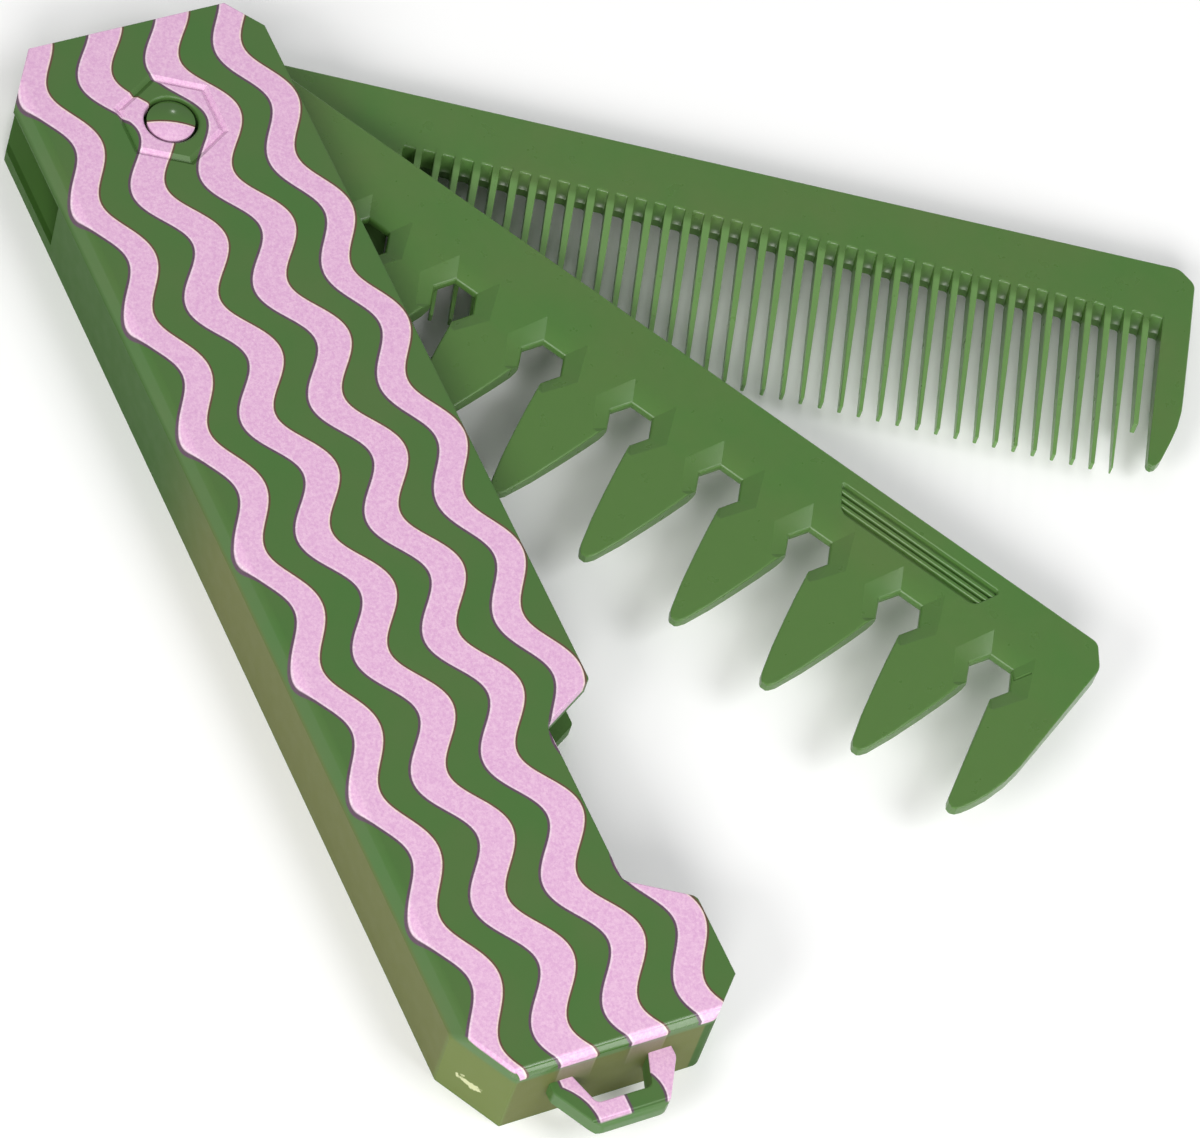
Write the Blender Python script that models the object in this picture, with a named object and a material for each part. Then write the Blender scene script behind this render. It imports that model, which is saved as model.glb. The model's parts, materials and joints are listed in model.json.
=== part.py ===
"""Folding pocket comb: a moulded case, a rivet and two comb blades that fan out about it.

Metres, +Z up. The origin is on the rivet's axis, at the underside of the case. +X runs along
the case to the key-ring loop, and +Y to the mouth, the long side that the blades come out of.
A blade is drawn in a frame of its own, which turns about the rivet: s runs along the blade,
away from the rivet, and t runs towards its spine. At 0 degrees the blade is inside the case.
"""
import math

import bmesh
import bpy
from mathutils import Vector

# Every size below is in millimetres, and a mesh is made in metres
MM = 0.001

# Case
CASE_HEIGHT = 9.3
CAVITY_FLOOR = 1.5
CAVITY_ROOF = 7.35
SIDE_WALL = 1.6
SIDE_WALL_START = 5.2
END_WALL_RADIUS = 99.4
END_WALL_LOW = -8.55
END_WALL_HIGH = 10.4
CORNER_WALL_START = 94.8
CASE_SIDE = -13.0
CASE_END = 101.1
CASE_MOUTH = 12.6
CASE_FAR = -11.2
OUTSIDE = 6.0

# Case seen from above: x, y, corner radius. The dip in the mouth is the finger notch.
CASE_CORNERS = [
    (-6.0, CASE_SIDE, 0.0),
    (95.2, CASE_SIDE, 0.0),
    (CASE_END, -9.5, 0.0),
    (CASE_END, 9.5, 1.0),
    (98.0, CASE_MOUTH, 0.0),
    (90.0, CASE_MOUTH, 0.8),
    (86.55, 7.0, 0.8),
    (70.15, 7.0, 0.8),
    (67.0, CASE_MOUTH, 0.5),
    (-7.7, CASE_MOUTH, 0.0),
    (CASE_FAR, 9.9, 0.0),
    (CASE_FAR, -9.7, 0.0),
]

# Bevels along the side and the loop end: width on the top cover, height on the wall
SIDE_BEVEL = (1.0, 1.7)
END_BEVEL = (0.5, 1.3)

# Hexagonal groove round the rivet: distance to a corner, half width, depth
GROOVE_REACH = 4.9
GROOVE_HALF_WIDTH = 0.38
GROOVE_DEPTH = 0.28

# Key-ring loop seen from above: x, y, corner radius. It starts inside the end wall.
LOOP_LOW = 2.95
LOOP_HIGH = 5.6
LOOP_EDGE = 0.6
LOOP_HOLE_END = 104.05
LOOP_HOLE_HALF = 3.87
LOOP_CORNERS = [
    (100.3, -5.9, 0.0),
    (102.1, -5.85, 0.6),
    (106.2, -3.4, 1.2),
    (106.2, 3.4, 1.2),
    (102.1, 5.85, 0.6),
    (100.3, 5.9, 0.0),
    (100.3, LOOP_HOLE_HALF, 0.0),
    (LOOP_HOLE_END, 2.6, 0.5),
    (LOOP_HOLE_END, -2.6, 0.5),
    (100.3, -LOOP_HOLE_HALF, 0.0),
]

# Rivet and its seat in the case
RIVET_SHANK = 2.0
RIVET_HEAD = 2.25
RIVET_FOOT = 1.1
RIVET_NECK = 7.4
RIVET_RIM = 9.0
RIVET_CROWN = 9.45
SEAT_FLOOR = 0.8
SEAT_RADIUS = 2.3
HEAD_HOLE = 2.55
HOLE_CHAMFER = 0.3
ROUND_SIDES = 32

# Both blades
BLADE_HALF = 1.235
SPINE = 13.15
SPINE_START = 2.5
HEEL_RADIUS = 10.8
BORE_RADIUS = 2.3
PLAIN_EDGE = (0.15, 0.12)

# Wide comb
WIDE_MIDDLE = 5.785
WIDE_REST_ANGLE = 30.475
WIDE_END = 98.05
WIDE_FIRST_GAP = 90.7
WIDE_PITCH = 10.05
WIDE_GAPS = 8
WIDE_TAPER_START = 8.0
WIDE_TIP_HALF = 0.55
WIDE_TIP = -10.9
WIDE_HEEL_FLAT = 18.0
WIDE_HEEL_BLEND = 22.5

# Hexagonal gap between wide teeth: half width and t of its corners, from the top round to the neck
HEX_CORNERS = [(1.15, 5.73), (2.17, 3.75), (1.285, 1.9)]
HEX_CENTRE = 3.8
COUNTERSINK_LIP = 6.3
COUNTERSINK_RISE = 0.72
COUNTERSINK_TOP = 7.1

# Flank of a wide tooth below the neck: half width, t, edge inset, edge drop
TOOTH_FLANK = [
    (3.13, -1.2, 0.5, 0.35),
    (2.5, -4.0, 0.5, 0.35),
    (1.72, -7.2, 0.5, 0.35),
    (0.85, -10.1, 0.45, 0.3),
    (0.5, -10.7, 0.4, 0.28),
]

# Guard tooth of the wide comb below the neck, from its inner flank round to the end: s, t, inset, drop
WIDE_GUARD = [
    (93.45, -4.0, 0.4, 0.28),
    (94.85, -9.5, 0.3, 0.22),
    (95.15, -9.98, 0.3, 0.2),
    (95.65, -10.17, 0.3, 0.2),
    (96.05, -9.98, 0.25, 0.2),
    (96.4, -9.45, 0.2, 0.16),
    (96.85, -8.45, 0.15, 0.12),
    (97.4, -6.9, 0.15, 0.12),
    (97.85, -4.7, 0.15, 0.12),
    (WIDE_END, -2.4, 0.15, 0.12),
]
WIDE_END_CORNER = [(WIDE_END, 10.9), (96.4, SPINE)]

# Ribbed thumb grip in the top of the wide comb: its section as t and depth, and its skewed ends
GRIP_SECTION = [
    (11.62, -0.2),
    (11.6, 0.0),
    (11.42, 0.5),
    (10.95, 0.5),
    (10.62, 0.18),
    (10.22, 0.5),
    (9.88, 0.18),
    (9.48, 0.5),
    (9.14, 0.18),
    (8.82, 0.45),
    (8.6, 0.0),
    (8.55, -0.2),
]
GRIP_TOP = 11.6
GRIP_LEFT = 68.8
GRIP_RIGHT = 86.75
GRIP_LEFT_SKEW = 0.55
GRIP_RIGHT_SKEW = 0.4

# Fine comb
FINE_MIDDLE = 3.03
FINE_REST_ANGLE = 58.066
FINE_END = 97.85
FINE_FIRST_GAP = 94.42
FINE_PITCH = 1.85
FINE_GAPS = 40
FINE_HEEL_END = 21.9
FINE_TIP_HALF = 0.5
FINE_TIP = -10.98
FINE_ROOT_WIDTH = 0.8
FINE_TIP_WIDTH = 0.42
FINE_TIP_ROUND = 0.25
FINE_LEAN = 0.16
SHORT_TOOTH_TIP = -5.6
POINTED_TIP_WIDTH = 0.22

# Gap roots and tooth section of the fine comb, from the top face down:
# share of the half thickness, inset of every edge, t of the gap root, corner of the gap root
FINE_LEVELS = [
    (1.0, 0.08, 7.1, 0.08),
    (0.74, 0.04, 6.85, 0.12),
    (0.35, 0.01, 6.25, 0.18),
    (0.05, 0.0, 6.05, 0.24),
    (-1.0, 0.08, 5.98, 0.34),
]

# Guard tooth of the fine comb, from its inner corner round to the end: s, t
FINE_GUARD_INNER = 95.1
FINE_GUARD = [
    (FINE_GUARD_INNER, -9.3),
    (95.22, -9.65),
    (95.55, -9.8),
    (95.95, -9.55),
    (96.3, -9.0),
    (96.7, -7.8),
    (97.15, -6.4),
    (97.55, -4.9),
    (97.8, -3.0),
    (FINE_END, -1.0),
]
FINE_END_CORNER = [(FINE_END, 11.7), (96.2, SPINE)]

# Plastic colours, linear
GREEN = (0.091, 0.188, 0.058)
BLADE_ROUGHNESS = 0.38
CASE_ROUGHNESS = 0.42


def plastic(name, colour, roughness):
    """Moulded plastic of one colour."""
    material = bpy.data.materials.new(name)
    material.use_nodes = True
    shader = material.node_tree.nodes["Principled BSDF"]
    shader.inputs["Base Color"].default_value = (*colour, 1.0)
    shader.inputs["Roughness"].default_value = roughness
    shader.inputs["Metallic"].default_value = 0.0
    return material


def clear_scene():
    """Take every object out of the scene."""
    for thing in list(bpy.data.objects):
        bpy.data.objects.remove(thing, do_unlink=True)


def add_object(name, bm, material=None):
    """Turn a bmesh in millimetres into a named object in metres."""
    bmesh.ops.scale(bm, vec=Vector((MM, MM, MM)), verts=bm.verts)
    mesh = bpy.data.meshes.new(name)
    bm.to_mesh(mesh)
    bm.free()
    if material is not None:
        mesh.materials.append(material)
    thing = bpy.data.objects.new(name, mesh)
    bpy.context.scene.collection.objects.link(thing)
    return thing


def combine(target, tool, operation):
    """Cut a tool out of its target or join it on, and hide the tool."""
    tool.hide_render = True
    tool.display_type = "WIRE"
    tool.parent = target
    step = target.modifiers.new(tool.name, "BOOLEAN")
    step.operation = operation
    step.solver = "EXACT"
    step.object = tool


def arc(centre, radius, first, last, steps):
    """Points on an arc between two angles in degrees, ends included."""
    points = []
    for i in range(steps + 1):
        angle = math.radians(first + (last - first) * i / steps)
        points.append((centre[0] + radius * math.cos(angle), centre[1] + radius * math.sin(angle)))
    return points


def round_corners(corners, steps=4):
    """Outline from rows of x, y and corner radius."""
    points = []
    count = len(corners)
    for i, (x, y, radius) in enumerate(corners):
        corner = Vector((x, y))
        if radius == 0.0:
            points.append((x, y))
            continue
        back = (Vector(corners[i - 1][:2]) - corner).normalized()
        ahead = (Vector(corners[(i + 1) % count][:2]) - corner).normalized()
        half = back.angle(ahead) / 2
        reach = radius / math.tan(half)
        centre = corner + (back + ahead).normalized() * radius / math.sin(half)
        start = corner + back * reach - centre
        end = corner + ahead * reach - centre
        first = math.degrees(math.atan2(start.y, start.x))
        turn = (math.degrees(math.atan2(end.y, end.x)) - first + 180) % 360 - 180
        points += arc(centre, radius, first, first + turn, steps)
    return points


def inset(points, distances):
    """Move each corner of an anticlockwise outline inwards, along its mitre."""
    moved = []
    count = len(points)
    for i, point in enumerate(points):
        here = Vector(point)
        before = (here - Vector(points[i - 1])).normalized()
        after = (Vector(points[(i + 1) % count]) - here).normalized()
        left = Vector((-before.y, before.x))
        right = Vector((-after.y, after.x))
        mitre = (left + right) / (1 + left.dot(right))
        moved.append(here + mitre * distances[i])
    return moved


def prism(name, outline, low, high, material=None):
    """Upright prism over an outline."""
    bm = bmesh.new()
    base = bm.faces.new([bm.verts.new((x, y, low)) for x, y in outline])
    raised = bmesh.ops.extrude_face_region(bm, geom=[base])["geom"]
    top = [item for item in raised if isinstance(item, bmesh.types.BMVert)]
    bmesh.ops.translate(bm, vec=(0, 0, high - low), verts=top)
    bmesh.ops.recalc_face_normals(bm, faces=bm.faces)
    return add_object(name, bm, material)


def turned(name, profile, material=None):
    """Round body about the rivet's axis, from a profile of radius and height."""
    bm = bmesh.new()
    points = [bm.verts.new((radius, 0, height)) for radius, height in profile]
    edges = [bm.edges.new(pair) for pair in zip(points, points[1:])]
    bmesh.ops.spin(bm, geom=edges, cent=(0, 0, 0), axis=(0, 0, 1), angle=math.tau, steps=ROUND_SIDES)
    bmesh.ops.remove_doubles(bm, verts=bm.verts, dist=0.001)
    bmesh.ops.recalc_face_normals(bm, faces=bm.faces)
    return add_object(name, bm, material)


def join_loops(bm, loops):
    """Side faces between a stack of outlines with as many corners each, the top one first."""
    count = len(loops[0])
    for upper, lower in zip(loops, loops[1:]):
        for i in range(count):
            j = (i + 1) % count
            bm.faces.new((upper[i], lower[i], lower[j], upper[j]))


def slice_off(thing_mesh, point, normal):
    """Cut away the outer side of a plane and close the cut."""
    geometry = thing_mesh.verts[:] + thing_mesh.edges[:] + thing_mesh.faces[:]
    cut = bmesh.ops.bisect_plane(
        thing_mesh, geom=geometry, plane_co=point, plane_no=normal, clear_outer=True)
    rim = [item for item in cut["geom_cut"] if isinstance(item, bmesh.types.BMEdge)]
    bmesh.ops.edgenet_fill(thing_mesh, edges=rim)


def case_block(material):
    """Outer block of the case, with the bevels along its side and its loop end."""
    outline = round_corners(CASE_CORNERS)
    bm = bmesh.new()
    base = bm.faces.new([bm.verts.new((x, y, 0)) for x, y in outline])
    raised = bmesh.ops.extrude_face_region(bm, geom=[base])["geom"]
    top = [item for item in raised if isinstance(item, bmesh.types.BMVert)]
    bmesh.ops.translate(bm, vec=(0, 0, CASE_HEIGHT), verts=top)
    width, height = SIDE_BEVEL
    slice_off(bm, (0, CASE_SIDE + width, CASE_HEIGHT), (0, -height, width))
    width, height = END_BEVEL
    slice_off(bm, (CASE_END - width, 0, CASE_HEIGHT), (height, 0, width))
    bmesh.ops.recalc_face_normals(bm, faces=bm.faces)
    return add_object("case", bm, material)


def cavity_outline():
    """Room for the blades: open at the mouth, round the far end and at the start of the side."""
    low = math.degrees(math.asin(END_WALL_LOW / END_WALL_RADIUS))
    high = math.degrees(math.asin(END_WALL_HIGH / END_WALL_RADIUS))
    inner_side = CASE_SIDE + SIDE_WALL
    outline = [
        (SIDE_WALL_START, CASE_SIDE - OUTSIDE),
        (SIDE_WALL_START, inner_side),
        (CORNER_WALL_START, inner_side),
    ]
    outline += arc((0, 0), END_WALL_RADIUS, low, high, 8)
    outline += [
        (CASE_END + OUTSIDE, END_WALL_HIGH),
        (CASE_END + OUTSIDE, CASE_MOUTH + OUTSIDE),
        (CASE_FAR - OUTSIDE, CASE_MOUTH + OUTSIDE),
        (CASE_FAR - OUTSIDE, CASE_SIDE - OUTSIDE),
    ]
    return outline


def hexagon_groove():
    """Ring with a V section that cuts the hexagonal groove."""
    above = 0.1
    spread = GROOVE_HALF_WIDTH * (GROOVE_DEPTH + above) / GROOVE_DEPTH
    section = [
        (GROOVE_REACH - spread, CASE_HEIGHT + above),
        (GROOVE_REACH, CASE_HEIGHT - GROOVE_DEPTH),
        (GROOVE_REACH + spread, CASE_HEIGHT + above),
    ]
    bm = bmesh.new()
    rings = []
    for radius, height in section:
        corners = arc((0, 0), radius, 0, 300, 5)
        rings.append([bm.verts.new((x, y, height)) for x, y in corners])
    join_loops(bm, rings + [rings[0]])
    bmesh.ops.recalc_face_normals(bm, faces=bm.faces)
    return add_object("case_groove_cutter", bm)


def key_loop():
    """Key-ring loop, with its outer lower edge bevelled off."""
    outline = round_corners(LOOP_CORNERS)
    bevel = []
    for x, y in outline:
        outer = abs(y) > LOOP_HOLE_HALF or x > LOOP_HOLE_END
        bevel.append(LOOP_EDGE if outer else 0.0)
    bm = bmesh.new()
    loops = []
    for points, height in (
        (outline, LOOP_HIGH),
        (outline, LOOP_LOW + LOOP_EDGE),
        (inset(outline, bevel), LOOP_LOW),
    ):
        loops.append([bm.verts.new((x, y, height)) for x, y in points])
    join_loops(bm, loops)
    bm.faces.new(loops[0])
    bm.faces.new(list(reversed(loops[-1])))
    bmesh.ops.recalc_face_normals(bm, faces=bm.faces)
    return add_object("case_loop_tool", bm)


def build_case(material):
    """Case: one moulding with its cavity, rivet seat, groove and key-ring loop."""
    case = case_block(material)
    cavity = prism("case_cavity_cutter", cavity_outline(), CAVITY_FLOOR, CAVITY_ROOF)
    combine(case, cavity, "DIFFERENCE")
    above = CASE_HEIGHT + HOLE_CHAMFER
    seat = turned("case_seat_cutter", [
        (0, SEAT_FLOOR),
        (SEAT_RADIUS, SEAT_FLOOR),
        (SEAT_RADIUS, WIDE_MIDDLE),
        (HEAD_HOLE, WIDE_MIDDLE),
        (HEAD_HOLE, CASE_HEIGHT - HOLE_CHAMFER),
        (HEAD_HOLE + 2 * HOLE_CHAMFER, above),
        (0, above),
    ])
    combine(case, seat, "DIFFERENCE")
    combine(case, hexagon_groove(), "DIFFERENCE")
    combine(case, key_loop(), "UNION")
    return case


def build_rivet(material):
    """Rivet: a shank that both blades turn on, and a domed head in the top cover."""
    profile = [(0, RIVET_FOOT), (RIVET_SHANK, RIVET_FOOT), (RIVET_SHANK, RIVET_NECK)]
    profile += [(RIVET_HEAD, RIVET_NECK), (RIVET_HEAD, RIVET_RIM)]
    steps = 5
    for i in range(1, steps + 1):
        share = 1 - i / steps
        height = RIVET_RIM + (RIVET_CROWN - RIVET_RIM) * (1 - share * share)
        profile.append((RIVET_HEAD * share, height))
    rivet = turned("rivet", profile, material)
    rivet.data.shade_smooth()
    rivet.data.set_sharp_from_angle(angle=math.radians(35))
    return rivet


def heel_outline():
    """Outline of a blade's heel, from the start of the spine round to its lower edge."""
    corner = math.hypot(SPINE_START, SPINE)
    first = math.degrees(math.atan2(SPINE, SPINE_START) + math.acos(HEEL_RADIUS / corner))
    return [(SPINE_START, SPINE)] + arc((0, 0), HEEL_RADIUS, first, 270, 10)


def wide_outline():
    """Outline of the wide comb, anticlockwise, with the inset and drop of its edge at each corner."""
    rows = [(s, t, *PLAIN_EDGE) for s, t in heel_outline()]
    flank_down = [(WIDE_PITCH / 2 - half, t, *edge) for half, t, *edge in TOOTH_FLANK]
    for i in reversed(range(WIDE_GAPS)):
        gap = WIDE_FIRST_GAP - WIDE_PITCH * i
        rows += [(gap - across, t, *edge) for across, t, *edge in reversed(flank_down)]
        rows += [(gap - half, t, *PLAIN_EDGE) for half, t in reversed(HEX_CORNERS)]
        rows += [(gap + half, t, *PLAIN_EDGE) for half, t in HEX_CORNERS]
        if i > 0:
            rows += [(gap + across, t, *edge) for across, t, *edge in flank_down]
            rows.append((gap + WIDE_PITCH / 2, WIDE_TIP, 0.4, 0.28))
    rows += WIDE_GUARD
    rows += [(s, t, *PLAIN_EDGE) for s, t in WIDE_END_CORNER]
    return rows


def wide_half_thickness(s, t):
    """Half thickness of the wide comb: full at the spine and the heel, thin at the tips."""
    down = max(0.0, (WIDE_TAPER_START - t) / (WIDE_TAPER_START - WIDE_TIP))
    thinned = BLADE_HALF + (WIDE_TIP_HALF - BLADE_HALF) * down
    blend = (s - WIDE_HEEL_FLAT) / (WIDE_HEEL_BLEND - WIDE_HEEL_FLAT)
    blend = min(1.0, max(0.0, blend))
    return BLADE_HALF + (thinned - BLADE_HALF) * blend


def wide_blank(material):
    """Wide comb before its gaps are countersunk."""
    rows = wide_outline()
    outline = [(s, t) for s, t, _, _ in rows]
    face = inset(outline, [row[2] for row in rows])
    drops = [row[3] for row in rows]
    bm = bmesh.new()
    loops = []
    for side in (1, -1):
        rim = [bm.verts.new((s, t, side * (BLADE_HALF - drop))) for (s, t), drop in zip(outline, drops)]
        cap = [bm.verts.new((s, t, side * BLADE_HALF)) for s, t in face]
        loops += [cap, rim] if side == 1 else [rim, cap]
    join_loops(bm, loops)
    bm.faces.new(loops[0])
    bm.faces.new(list(reversed(loops[-1])))
    for point, normal in (
        ((0, WIDE_TAPER_START, 0), (0, 1, 0)),
        ((WIDE_HEEL_FLAT, 0, 0), (1, 0, 0)),
        ((WIDE_HEEL_BLEND, 0, 0), (1, 0, 0)),
    ):
        geometry = bm.verts[:] + bm.edges[:] + bm.faces[:]
        bmesh.ops.bisect_plane(bm, geom=geometry, plane_co=point, plane_no=normal)
    bmesh.ops.triangulate(bm, faces=bm.faces)
    for vertex in bm.verts:
        s, t, z = vertex.co
        vertex.co.z = WIDE_MIDDLE + z * wide_half_thickness(s, t) / BLADE_HALF
    bmesh.ops.recalc_face_normals(bm, faces=bm.faces)
    return add_object("wide_comb", bm, material)


def hexagon(gap, scale):
    """Corners of a gap's hexagon, grown about its centre."""
    right = [(half * scale, HEX_CENTRE + (t - HEX_CENTRE) * scale) for half, t in HEX_CORNERS]
    left = [(-across, t) for across, t in reversed(right)]
    return [(gap + across, t) for across, t in reversed(left + right)]


def countersinks():
    """Hexagonal funnels that bevel both faces round every gap of the wide comb."""
    scale = 1 + (COUNTERSINK_TOP - COUNTERSINK_LIP) / COUNTERSINK_RISE
    bm = bmesh.new()
    for i in range(WIDE_GAPS):
        gap = WIDE_FIRST_GAP - WIDE_PITCH * i
        for side in (1, -1):
            lip = WIDE_MIDDLE + side * (COUNTERSINK_LIP - WIDE_MIDDLE)
            mouth = WIDE_MIDDLE + side * (COUNTERSINK_TOP - WIDE_MIDDLE)
            upper = [bm.verts.new((s, t, mouth)) for s, t in hexagon(gap, scale)]
            lower = [bm.verts.new((s, t, lip)) for s, t in hexagon(gap, 1.0)]
            join_loops(bm, [upper, lower])
            bm.faces.new(upper)
            bm.faces.new(list(reversed(lower)))
    bmesh.ops.recalc_face_normals(bm, faces=bm.faces)
    return add_object("wide_countersink_cutter", bm)


def grip_cutter():
    """Ribbed bar with skewed ends that sinks the thumb grip into the wide comb."""
    surface = WIDE_MIDDLE + BLADE_HALF
    bm = bmesh.new()
    ends = []
    for limit, skew in ((GRIP_LEFT, GRIP_LEFT_SKEW), (GRIP_RIGHT, -GRIP_RIGHT_SKEW)):
        ends.append([
            bm.verts.new((limit + skew * (GRIP_TOP - t), t, surface - depth)) for t, depth in GRIP_SECTION])
    join_loops(bm, ends)
    bm.faces.new(ends[0])
    bm.faces.new(list(reversed(ends[1])))
    bmesh.ops.recalc_face_normals(bm, faces=bm.faces)
    return add_object("wide_grip_cutter", bm)


def bore_cutter(name, middle):
    """Pin that cuts a blade's hole for the rivet."""
    low = middle - 2 * BLADE_HALF
    high = middle + 2 * BLADE_HALF
    return turned(name, [(0, low), (BORE_RADIUS, low), (BORE_RADIUS, high), (0, high)])


def build_wide_comb(material):
    """Wide comb: the upper blade, opened to where it lies in the fan."""
    comb = wide_blank(material)
    combine(comb, countersinks(), "DIFFERENCE")
    combine(comb, grip_cutter(), "DIFFERENCE")
    combine(comb, bore_cutter("wide_bore_cutter", WIDE_MIDDLE), "DIFFERENCE")
    comb.rotation_euler.z = math.radians(WIDE_REST_ANGLE)
    return comb


def fine_tooth(centre, tip, tip_width):
    """Corners of one fine tooth below its root, left to right: down, round the tip and up."""
    half = tip_width / 2
    shoulder = tip + FINE_TIP_ROUND
    return [
        (centre - half, shoulder),
        (centre - half * 0.45, tip),
        (centre + half * 0.45, tip),
        (centre + half, shoulder),
    ]


def fine_root(left, right, root, corner):
    """Corners of the closed end of one fine gap, left to right."""
    return [(left, root - corner), (left + corner, root), (right - corner, root), (right, root - corner)]


def fine_outline(root, corner):
    """Outline of the fine comb at one level, and the first and last corner of each tooth."""
    points = heel_outline()
    teeth = []
    half_gap = (FINE_PITCH - FINE_ROOT_WIDTH) / 2
    points.append((FINE_FIRST_GAP - FINE_PITCH * (FINE_GAPS - 1) - half_gap - 0.25, -HEEL_RADIUS))
    for i in reversed(range(FINE_GAPS)):
        gap = FINE_FIRST_GAP - FINE_PITCH * i
        right = gap + half_gap if i > 0 else FINE_GUARD_INNER
        points += fine_root(gap - half_gap, right, root, corner)
        first = len(points) - 2
        if i > 0:
            tip = SHORT_TOOTH_TIP if i == 1 else FINE_TIP
            tip_width = POINTED_TIP_WIDTH if i == 2 else FINE_TIP_WIDTH
            lean = FINE_LEAN * (root - tip) / (root - FINE_TIP)
            points += fine_tooth(gap + FINE_PITCH / 2 + lean, tip, tip_width)
            teeth.append((first, len(points) + 1))
        else:
            points += FINE_GUARD
            points.append((FINE_END, root))
            teeth.append((first, len(points) - 1))
    points += FINE_END_CORNER
    return points, teeth


def fine_half_thickness(s, t, root):
    """Half thickness of the fine comb: full in its plate, thin at the tooth tips."""
    if s < FINE_HEEL_END or t > root:
        return BLADE_HALF
    return BLADE_HALF + (FINE_TIP_HALF - BLADE_HALF) * (root - t) / (root - FINE_TIP)


def fine_cap(bm, loop, teeth):
    """Faces of one side: a face for each tooth and one for the plate."""
    inner = set()
    for first, last in teeth:
        bm.faces.new(loop[first:last + 1])
        inner.update(range(first + 1, last))
    bm.faces.new([vertex for i, vertex in enumerate(loop) if i not in inner])


def build_fine_comb(material):
    """Fine comb: the lower blade, opened furthest in the fan."""
    bm = bmesh.new()
    loops = []
    for share, edge, root, corner in FINE_LEVELS:
        outline, teeth = fine_outline(root, corner)
        loop = []
        for s, t in inset(outline, [edge] * len(outline)):
            height = FINE_MIDDLE + share * fine_half_thickness(s, t, root)
            loop.append(bm.verts.new((s, t, height)))
        loops.append(loop)
    join_loops(bm, loops)
    fine_cap(bm, loops[0], teeth)
    fine_cap(bm, loops[-1], teeth)
    bmesh.ops.triangulate(bm, faces=bm.faces)
    bmesh.ops.recalc_face_normals(bm, faces=bm.faces)
    comb = add_object("fine_comb", bm, material)
    combine(comb, bore_cutter("fine_bore_cutter", FINE_MIDDLE), "DIFFERENCE")
    comb.rotation_euler.z = math.radians(FINE_REST_ANGLE)
    return comb


def main():
    """Build the whole comb."""
    clear_scene()
    build_case(plastic("printed green case", GREEN, CASE_ROUGHNESS))
    build_rivet(plastic("printed green rivet", GREEN, CASE_ROUGHNESS))
    build_wide_comb(plastic("green wide comb", GREEN, BLADE_ROUGHNESS))
    build_fine_comb(plastic("green fine comb", GREEN, BLADE_ROUGHNESS))


main()
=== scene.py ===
"""Folding pocket comb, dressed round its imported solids.

The file is laid out as an add-on and is run as a script. Lengths in the tables below are
millimetres, and every mesh is made in metres with its place in its own points. The origin is on
the rivet's axis at the underside of the case, +X runs to the key-ring loop and +Y to the mouth.
A blade is modelled closed, along +X with its spine towards +Y, and is then turned to its place.
"""
import json
import math
from functools import partial

import bpy
from mathutils import Matrix, Vector

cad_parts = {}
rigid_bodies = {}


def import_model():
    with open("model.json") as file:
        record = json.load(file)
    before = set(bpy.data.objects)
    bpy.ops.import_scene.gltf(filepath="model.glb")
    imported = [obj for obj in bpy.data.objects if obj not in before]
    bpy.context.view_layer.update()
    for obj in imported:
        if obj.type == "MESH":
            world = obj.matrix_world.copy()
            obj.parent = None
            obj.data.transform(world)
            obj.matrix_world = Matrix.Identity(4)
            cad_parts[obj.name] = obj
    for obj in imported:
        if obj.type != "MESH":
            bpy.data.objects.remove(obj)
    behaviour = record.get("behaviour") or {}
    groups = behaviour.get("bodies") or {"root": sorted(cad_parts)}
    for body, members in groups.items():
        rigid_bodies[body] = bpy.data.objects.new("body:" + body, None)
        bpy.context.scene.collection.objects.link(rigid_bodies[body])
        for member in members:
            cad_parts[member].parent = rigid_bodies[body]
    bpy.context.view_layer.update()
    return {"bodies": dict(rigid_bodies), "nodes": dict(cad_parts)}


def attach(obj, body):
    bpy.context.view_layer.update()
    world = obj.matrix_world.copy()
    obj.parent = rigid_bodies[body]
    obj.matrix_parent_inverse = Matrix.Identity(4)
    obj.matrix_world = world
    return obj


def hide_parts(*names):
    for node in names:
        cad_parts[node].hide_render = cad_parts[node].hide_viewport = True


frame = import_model()

bl_info = {
    "name": "Folding Pocket Comb",
    "version": (1, 0, 0),
    "blender": (4, 5, 0),
    "location": "3D View > Sidebar > Folding Comb",
    "description": "Builds a folding pocket comb with a printed case and two comb blades",
    "category": "Add Mesh",
}

MM = 0.001
MERGE = 0.002
SMOOTH_ANGLE = 21.0

# Case block and the upright cuts across its corners, from point to point with the case on the left
CASE_LOW = (-11.2, -13.0, 0.0)
CASE_HIGH = (101.1, 12.6, 9.3)
CORNER_CUTS = [
    ((95.2, -13.0), (101.1, -9.5)), ((101.1, 9.5), (98.0, 12.6)), ((-7.7, 12.6), (-11.2, 9.9)),
    ((-11.2, -9.7), (-6.0, -13.0)),
]
TOP = CASE_HIGH[2]
NOTCH_FLOOR = 7.0
NOTCH_SIDES = [((67.0, 12.6), (70.15, NOTCH_FLOOR)), ((86.55, NOTCH_FLOOR), (90.0, 12.6))]

# Upright edges that are rounded: x, y, how far the rounding reaches
ROUNDED_CORNERS = [
    (101.1, 9.5, 0.41), (90.0, 12.6, 0.47), (86.55, NOTCH_FLOOR, 0.47),
    (70.15, NOTCH_FLOOR, 0.47), (67.0, 12.6, 0.29),
]
SIDE_BEVEL = (1.0, 1.7)
END_BEVEL = (0.5, 0.68)
TOP_ROUNDINGS = (0.5, 0.25)
END_FOOT_ROUNDING = 0.3
NEAR_CORNER_EDGE = 0.35

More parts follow.
